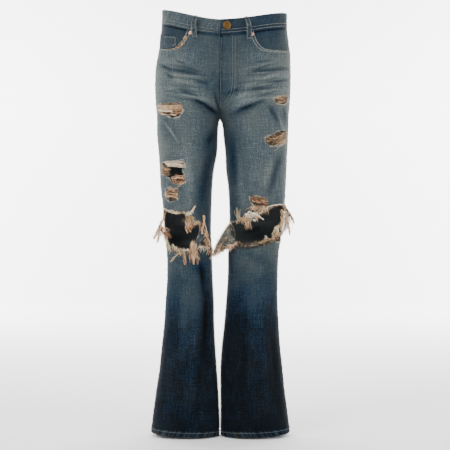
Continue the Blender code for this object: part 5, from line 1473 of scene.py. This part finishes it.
# A fringe has its route of roots, threads, way, lengths, spread, wave, lift, tones and tint. A rope has its
# route, threads, girth, lift, tones and tint. Routes, lengths, waves, lifts and girths are in mm.
TUFTS = {  # each has its fringes and then its ropes
    "thigh_right": ((
        (((-168, -225), (-168, -246)), 44, (1, 0.03), (40, 62), 0.05, 1.2, 2.0, (0.2, 0.7), PLAIN),
        (((-106, -228), (-110, -246)), 20, (-1, -0.02), (20, 40), 0.07, 1.2, 2.0, (0.25, 0.7), PINK),
        (((-160, -228), (-120, -228)), 26, (0.3, -1), (6, 14), 0.4, 1.5, 1.5, (0.3, 0.8), PLAIN),
    ), (
        (((-164, -239), (-150, -243), (-130, -243)), 14, 5.0, 1.0, (0.75, 1.05), PLAIN),
        (((-160, -248), (-142, -252), (-118, -251)), 18, 5.0, 0.8, (0.3, 0.85), 0.6),
    )),
    "low_thigh_right": ((
        (((-152, -370), (-142, -381)), 18, (1, 0.03), (28, 50), 0.05, 1.0, 1.5, (0.6, 1.1), PLAIN),
        (((-106, -370), (-112, -375), (-101, -381)),
         12, (-1, 0.0), (16, 34), 0.08, 1.1, 1.5, (0.5, 1.0), PLAIN),
        (((-159, -378), (-159, -403)), 34, (1, 0.04), (12, 26), 0.12, 1.5, 2.0, (0.2, 0.65), PLAIN),
        (((-102, -402), (-103, -424)), 30, (-1, -0.1), (18, 32), 0.25, 2.6, 3.5, (0.05, 0.7), PINK),
        (((-134, -421), (-104, -424)), 22, (0.2, 1), (6, 16), 0.5, 2.0, 3.0, (0.0, 0.6), PINK),
    ), (
        (((-130, -412), (-114, -408), (-102, -412)), 9, 5.0, 1.5, (0.5, 0.9), PINK),
    )),
    "above_knee_right": ((
        (((-140, -435), (-150, -448), (-146, -462)), 40, (1, -0.1), (8, 34), 0.16, 1.8, 2.0, (0.1, 0.8), 0.7),
        (((-124, -438), (-117, -450), (-122, -462)),
         24, (-1, -0.1), (6, 16), 0.3, 1.8, 2.0, (0.1, 0.75), 0.6),
        (((-144, -463), (-124, -465)), 20, (0.3, 1), (4, 10), 0.4, 1.2, 2.0, (-0.2, 0.3), OLIVE),
    ), ()),
    "hip_left": ((
        (((134, -206), (122, -213), (132, -222)),
         28, (1, 0.04), (10, 30), 0.1, 1.2, 1.6, (-0.05, 0.6), PLAIN),
        (((157, -207), (156, -222)), 14, (-1, 0.0), (12, 26), 0.08, 1.0, 1.6, (-0.05, 0.55), 0.6),
        (((136, -222), (154, -220)), 18, (0.2, 1), (4, 9), 0.5, 1.2, 2.0, (-0.4, 0.1), OLIVE),
    ), ()),
    "thigh_left": ((
        (((154, -292), (152, -322)), 36, (-1, -0.25), (18, 38), 0.16, 1.8, 2.4, (0.0, 0.7), 0.6),
        (((102, -312), (120, -304)), 20, (0.8, -0.4), (10, 26), 0.25, 1.8, 2.4, (0.0, 0.5), 0.75),
        (((106, -327), (138, -326)), 26, (0.5, 1), (8, 18), 0.4, 1.8, 2.4, (-0.1, 0.5), OLIVE),
    ), (
        (((104, -318), (122, -311), (146, -300)), 8, 4.5, 1.0, (0.1, 0.6), 0.45),
    )),
    "above_knee_left": ((
        (((62, -454), (68, -466), (78, -479)), 34, (1, -0.12), (16, 40), 0.14, 1.6, 2.0, (-0.1, 0.6), 0.8),
        (((100, -458), (108, -470), (110, -481)),
         18, (-1, 0.05), (10, 28), 0.16, 1.6, 2.0, (-0.1, 0.6), PINK),
        (((74, -478), (104, -480)), 30, (-0.2, -1), (10, 24), 0.4, 2.0, 2.6, (0.0, 0.7), 0.6),
    ), (
        (((76, -458), (88, -459), (98, -463)), 7, 4.0, 0.8, (0.15, 0.4), -0.1),
        (((78, -468), (90, -469), (104, -474)), 9, 5.0, 1.0, (0.3, 0.6), 1.1),
    )),
    "knee_top_right": ((
        (((-140, -489), (-114, -495), (-88, -495)), 46, (0.25, -1), (3, 9), 0.5, 1.0, 1.6, (0.3, 0.8), PLAIN),
        (((-96, -500), (-86, -498), (-78, -486)),
         26, (-0.5, -1), (5, 13), 0.35, 1.4, 2.4, (0.75, 1.05), 0.45),
        (((-97, -505), (-84, -505)), 34, (-0.05, -1), (10, 22), 0.45, 2.6, 4.0, (0.3, 0.6), 0.45),
        (((-97, -522), (-85, -520)), 26, (0.1, -1), (12, 24), 0.25, 2.0, 3.0, (0.35, 0.85), PINK),
        (((-80, -519), (-64, -519)), 30, (-0.02, -1), (6, 12), 0.14, 0.8, 1.2, (0.3, 0.7), 0.35),
    ), (
        (((-153, -484), (-142, -490), (-125, -497), (-112, -498)), 8, 3.2, 1.5, (0.7, 1.05), PLAIN),
        (((-152, -490), (-138, -495), (-120, -500)), 5, 2.2, 1.0, (0.6, 1.0), PLAIN),
        (((-76, -480), (-82, -490), (-92, -502)), 9, 4.5, 1.2, (0.8, 1.1), 0.4),
        (((-92, -506), (-90, -514), (-94, -522)), 9, 7.0, 2.0, (0.35, 0.6), 0.4),
        (((-88, -522), (-92, -532), (-87, -545)), 8, 6.0, 1.5, (0.45, 0.8), PINK),
        (((-98, -520), (-98, -534), (-94, -548)), 4, 2.0, 1.0, (0.8, 1.05), PLAIN),
    )),
    "knee_side_right": ((
        (((-147, -494), (-152, -510), (-158, -526)),
         26, (-0.3, -1), (10, 22), 0.18, 1.4, 2.0, (0.25, 0.65), 0.6),
        (((-160, -528), (-155, -538), (-148, -548)),
         44, (0.6, -1), (10, 24), 0.4, 2.4, 3.0, (0.2, 0.7), PINK),
        (((-163, -532), (-158, -548)), 40, (-0.5, -1), (14, 30), 0.16, 1.8, 2.2, (0.05, 0.6), 0.6),
        (((-148, -554), (-142, -570), (-137, -588)), 26, (0.15, -1), (6, 14), 0.3, 1.4, 2.0, (0.6, 1.0), 0.3),
    ), (
        (((-147, -490), (-150, -506), (-157, -522), (-161, -532)), 9, 4.5, 1.2, (0.25, 0.7), 0.6),
        (((-160, -528), (-168, -545), (-175, -562)), 26, 4.0, 1.0, (0.1, 0.65), 0.6),
        (((-160, -540), (-164, -556), (-167, -571)), 22, 3.6, 1.0, (0.05, 0.6), 0.6),
        (((-160, -530), (-154, -540), (-146, -552), (-143, -562)), 16, 8.5, 1.5, (0.3, 0.7), PINK),
        (((-146, -556), (-140, -572), (-135, -588)), 8, 4.5, 1.2, (0.65, 1.0), 0.25),
    )),
    "knee_strip_right": ((
        (((-56, -520), (-52, -534), (-48, -550)),
         24, (-0.55, -1), (6, 14), 0.3, 1.4, 2.0, (0.35, 0.75), PINK),
        (((-50, -556), (-44, -574), (-38, -598)), 24, (-0.1, -1), (8, 16), 0.25, 1.2, 2.0, (0.4, 0.8), PINK),
        (((-66, -580), (-44, -582)), 22, (0.3, -1), (6, 18), 0.6, 3.0, 3.0, (0.3, 1.0), PLAIN),
    ), (
        (((-56, -504), (-54, -518), (-58, -534), (-61, -550)), 9, 6.0, 1.2, (0.4, 0.8), PINK),
        (((-55, -512), (-50, -530), (-46, -548)), 4, 2.0, 0.8, (0.8, 1.05), PLAIN),
        (((-50, -548), (-44, -566), (-38, -584), (-35, -604)), 10, 6.0, 1.2, (0.5, 0.85), 0.75),
        (((-68, -586), (-58, -580), (-48, -584)), 4, 2.0, 2.0, (0.8, 1.1), PLAIN),
    )),
    "knee_foot_right": ((
        (((-132, -579), (-118, -592), (-88, -592)), 60, (0.1, 1), (3, 8), 0.5, 1.0, 1.6, (0.6, 1.05), PLAIN),
        (((-130, -584), (-116, -596), (-86, -596)), 40, (-0.1, -1), (4, 12), 0.5, 1.2, 1.6, (0.2, 0.7), 0.6),
        (((-116, -596), (-113, -597)), 3, (-0.75, -0.7), (26, 32), 0.06, 2.0, 2.0, (0.7, 1.0), PLAIN),
        (((-106, -595), (-101, -595)), 5, (0.15, -1), (26, 34), 0.06, 1.2, 1.5, (0.45, 0.8), PINK),
        (((-88, -582), (-80, -566), (-70, -580)), 50, (0.06, -1), (22, 48), 0.14, 2.0, 3.0, (0.2, 0.75), 0.6),
        (((-76, -602), (-73, -604)), 4, (0.8, -0.7), (12, 18), 0.15, 1.0, 2.0, (0.6, 1.0), PLAIN),
    ), (
        (((-84, -572), (-82, -590), (-80, -608), (-78, -624)), 12, 8.0, 1.5, (0.35, 0.7), 0.6),
        (((-76, -574), (-74, -592), (-78, -610)), 9, 6.0, 1.5, (0.45, 0.8), 0.65),
    )),
    "knee_top_left": ((
        (((66, -480), (108, -482)), 40, (-0.6, -1), (8, 22), 0.4, 2.0, 2.6, (0.35, 0.9), 0.6),
        (((30, -514), (38, -514)), 7, (-0.15, 1), (22, 34), 0.1, 1.0, 1.6, (0.6, 0.9), 0.3),
        (((38, -512), (60, -500)), 44, (0.1, -1), (6, 18), 0.6, 2.4, 3.5, (0.35, 0.7), 0.45),
        (((50, -504), (80, -494)), 44, (0.2, -0.9), (6, 14), 0.7, 2.2, 3.5, (0.8, 1.1), 0.5),
        (((72, -504), (82, -500)), 16, (0.6, -0.7), (6, 16), 0.3, 1.8, 2.5, (0.3, 0.7), PINK),
        (((53, -517), (62, -517)), 14, (0.05, -1), (14, 24), 0.08, 1.0, 1.6, (0.4, 0.75), 0.55),
        (((26, -516), (80, -512)), 44, (0.0, -1), (3, 8), 0.5, 1.0, 1.6, (0.3, 0.8), PLAIN),
        (((84, -500), (108, -482), (128, -477)), 34, (0.1, -1), (3, 8), 0.5, 1.0, 1.6, (0.3, 0.8), PLAIN),
    ), (
        (((76, -500), (86, -506), (96, -514)), 5, 2.6, 1.5, (0.85, 1.1), 0.4),
        (((38, -508), (48, -514), (60, -512)), 9, 6.0, 1.5, (0.4, 0.65), 0.45),
        (((52, -502), (62, -494), (76, -500)), 9, 5.0, 2.0, (0.85, 1.1), 0.45),
        (((106, -482), (124, -477), (144, -476)), 5, 2.4, 1.0, (0.7, 1.0), PLAIN),
    )),
    "knee_side_left": ((
        (((142, -477), (150, -484)), 30, (0.5, -1), (34, 50), 0.08, 1.6, 2.2, (0.0, 0.45), PLAIN),
        (((140, -490), (152, -500)), 44, (0.25, -1), (24, 46), 0.14, 2.2, 3.0, (0.35, 0.95), 0.6),
        (((138, -506), (155, -520)), 44, (0.15, -1), (16, 34), 0.2, 2.2, 3.0, (0.3, 0.9), 0.6),
        (((142, -522), (124, -532)), 38, (-0.2, -1), (10, 26), 0.35, 2.4, 3.0, (0.35, 0.85), 0.35),
        (((134, -540), (118, -556)), 24, (0.25, -1), (8, 18), 0.3, 1.8, 2.0, (0.3, 0.7), PLAIN),
    ), (
        (((143, -476), (148, -492), (150, -512), (146, -532), (138, -552)), 9, 5.5, 1.5, (0.4, 0.9), 0.6),
        (((144, -477), (155, -491), (163, -506), (171, -523)), 26, 4.4, 1.0, (0.0, 0.6), PLAIN),
        (((148, -498), (154, -518), (156, -536), (160, -552)), 26, 5.0, 1.0, (0.35, 0.9), 0.65),
        (((140, -520), (130, -536), (126, -552)), 8, 5.5, 1.5, (0.4, 0.8), 0.3),
    )),
    "knee_foot_left": ((
        (KNEE_FOOT, 150, (0.1, 1), (3, 9), 0.3, 1.0, 1.8, (-0.2, 0.45), OLIVE),
        (UNDER_FOOT, 110, (-0.1, -1), (3, 8), 0.4, 1.2, 2.4, (-0.6, 0.1), OLIVE),
        (((100, -564), (106, -563)), 6, (0.0, 1), (6, 10), 0.6, 3.0, 3.0, (0.8, 1.1), PLAIN),
    ), (
        (((84, -573), (104, -566), (122, -560)), 7, 4.5, 0.8, (0.15, 0.7), 0.6),
    )),
    "mouth_right": ((
        (((-99, -58), (-102, -68), (-109, -77), (-120, -84)),
         60, (-0.75, -1), (3, 7), 0.4, 1.2, 1.6, (-0.1, 0.6), 0.7),
        (((-98, -52), (-101, -64)), 16, (-0.5, -1), (4, 10), 0.3, 1.2, 1.2, (0.5, 1.0), 0.4),
    ), (
        (((-97, -52), (-100, -66), (-107, -77), (-118, -85), (-134, -88)), 6, 2.6, 0.4, (0.1, 0.65), 0.75),
    )),
}
FLAP_TUFTS = (  # fringes on the tongue
    (((14, -520), (-2, -541), (-18, -568), (-29, -594)),
     60, (-0.3, 0.5), (2, 5), 0.5, 0.8, 1.0, (0.3, 0.8), 0.5),
    (((22, -576), (2, -584), (-18, -595)), 90, (-0.6, -0.8), (4, 13), 0.35, 1.4, 1.6, (0.0, 0.7), 0.6),
    (((-12, -586), (-28, -598)), 40, (-0.6, -1), (8, 20), 0.22, 1.4, 1.6, (0.0, 0.8), 0.6),
    (((8, -556), (-20, -590)), 90, (-0.6, -0.8), (6, 14), 0.45, 1.4, 1.6, (-0.2, 0.55), 0.65),
    (((28, -571), (10, -578)), 18, (-0.4, -0.7), (8, 16), 0.5, 2.6, 2.0, (0.4, 0.9), 0.8),
)
FLAP_ROPES = (
    (((14, -521), (-4, -545), (-22, -577)), 5, 2.2, 0.2, (0.4, 0.8), PLAIN),
    (((30, -570), (20, -580), (10, -576)), 5, 2.6, 0.6, (0.6, 1.0), PINK),
)

# %% Threads in their places
SOLIDS = {  # of the tufts that stand for more than the solid of their own name, or for none
    "low_thigh_right": ("low_thigh_right", "curl_right"),
    "knee_top_right": ("knee_top_right", "knee_hang_right"),
    "knee_foot_right": ("knee_foot_right", "knee_tuft_right"),
    "mouth_right": (),
}
TUFT_SEED, SEAM_SEED = 11, 5
SEAM_TEARS = {RIGHT: (-491, -582), LEFT: (-480, -564)}  # mm, where the knee tears meet the side seams
SEAM_FRINGES = (  # as in a fringe of a tuft, but without its route
    (64, (1, -0.25), (6, 16), 0.35, 1.2, 1.6, (0.2, 0.8), PLAIN),
    (16, (0.7, -1), (12, 26), 0.3, 1.6, 2.0, (0.3, 0.9), 0.6),
)
OFF_TONGUE = 3 * MM  # the tongue's curl and ripple reach this far out


def on_tongue(x, z, lift):
    """A place in front of the tongue."""
    return Vector((x, np.interp(x / MM, FLAP_X, FLAP_FORWARD) * MM - OFF_TONGUE - lift, z))


for seed, (name, (fringes, ropes)) in enumerate(TUFTS.items()):
    side = LEFT if name.endswith("left") else RIGHT
    chance = np.random.default_rng(seed + TUFT_SEED)
    spot_at = lambda x, z, lift: place(side, FRONT, x, z, lift)[0]
    solids = ["fray_" + solid for solid in SOLIDS.get(name, (name,))]
    tubes("weft_" + name, tuft(chance, spot_at, fringes, ropes), solids)
chance = np.random.default_rng(SEAM_SEED)
for side, (top, foot) in SEAM_TEARS.items():
    near = lambda inward: max(inward / PANEL_WIDTH, NEAR_SHARE)
    on_seam = lambda inward, z, lift: Vector(on_cloth(side, FRONT, -z, near(inward), lift))
    fringes = [(((1, top), (2, foot)), *row) for row in SEAM_FRINGES]
    tubes(f"weft_seam_{LEG_NAMES[side]}", tuft(chance, on_seam, fringes, ()), ())
tubes("weft_tongue", tuft(chance, on_tongue, FLAP_TUFTS, FLAP_ROPES), ("fray_flap_left",))

# %% [markdown]
# ## Stage, light and camera
# The floor and the backdrop are one plain pale sweep. Light comes from large soft boxes, one high on
# the left, a weaker one on the right and one above, so that creases read but nothing glares. Three more keep
# the paper behind pale. The camera stands at the eye point, level with the knees, and looks straight ahead.

# %% Stage
FLOOR_Z = CAD_BOX[0].z - 1 * MM
SWEEP_FRONT, SWEEP_BACK, SWEEP_HIGH, SWEEP_ROUND, SWEEP_WIDE = -7.0, 5.0, 6.0, 1.4, 11.0
SWEEP_STEPS = 12
paper, tree, shader = new_finish("white backdrop paper", {"Roughness": 0.95, "Specular IOR Level": 0.1})
grain = add_node(tree, "TexNoise", {"Scale": 600.0, "Detail": 2.0}, out="Fac")
pale = add_node(tree, "ValToRGB", {"Fac": grain}, ((0.0, "#f4f4f3"), (1.0, "#fbfbfa")))
set_inputs(tree, shader, {"Base Color": pale})
turn = np.linspace(0, np.pi / 2, SWEEP_STEPS)
profile = [(SWEEP_FRONT, 0)]
profile += [(SWEEP_BACK + SWEEP_ROUND * np.sin(a), SWEEP_ROUND * (1 - np.cos(a))) for a in turn]
profile += [(SWEEP_BACK + SWEEP_ROUND, SWEEP_HIGH)]
spots = [(x, y, FLOOR_Z + z) for y, z in profile for x in (-SWEEP_WIDE, SWEEP_WIDE)]
faces = [(2 * k, 2 * k + 1, 2 * k + 3, 2 * k + 2) for k in range(len(profile) - 1)]
sweep = link("sweep", smooth_mesh("sweep", spots, faces))
sweep.data.materials.append(paper)
print("floor at", round(FLOOR_Z, 3), "m, backdrop of", len(faces), "strips")

# %% Lights and camera
JEANS, PAPER = Vector((0, 0, -0.5)), Vector((0, 6.0, -0.5))
LIGHTS = {  # place, aim, size, power in watts
    "soft box left": ((-2.2, -2.6, 1.2), JEANS, 1.8, 112),
    "soft box right": ((2.6, -2.2, 0.4), JEANS, 2.0, 66),
    "soft box above": ((0.0, 0.2, 2.4), JEANS, 2.4, 44),
    "backdrop left": ((-3.4, 3.4, 1.0), PAPER, 1.6, 600),
    "backdrop right": ((3.4, 3.4, 1.0), PAPER, 1.6, 600),
    "floor behind": ((0.0, 2.6, 2.6), Vector((0, 2.8, -1)), 2.4, 120),
}
for name, (spot, aim, size, power) in LIGHTS.items():
    light = bpy.data.lights.new(name, "AREA")
    light.energy, light.size = power, size
    lamp = link(name, light)
    lamp.location = spot
    lamp.rotation_euler = (aim - Vector(spot)).to_track_quat("-Z", "Y").to_euler()
world = bpy.data.worlds.new("studio")
world.use_nodes = True
set_inputs(world.node_tree, world.node_tree.nodes["Background"], {"Color": srgb("#ffffff"), "Strength": 0.75})
bpy.context.scene.world = world

SENSOR, FRAME_WIDTH = 36.0, 1.125  # mm of sensor, and metres across the picture at the jeans
camera = bpy.data.cameras.new("camera")
camera.sensor_width = SENSOR
camera.lens = SENSOR * EYE_DISTANCE / FRAME_WIDTH
viewer = link("camera", camera)
viewer.location = EYE
viewer.rotation_euler = (math.pi / 2, 0, 0)
bpy.context.scene.camera = viewer
print(len(LIGHTS), "lights, and a lens of", round(camera.lens, 1), "mm")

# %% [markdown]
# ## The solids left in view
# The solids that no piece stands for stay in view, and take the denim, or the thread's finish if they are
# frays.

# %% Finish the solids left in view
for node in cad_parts.values():
    if not node.hide_render:
        node.data.materials.clear()
        node.data.materials.append(THREAD if node.name.startswith("fray") else DENIM)
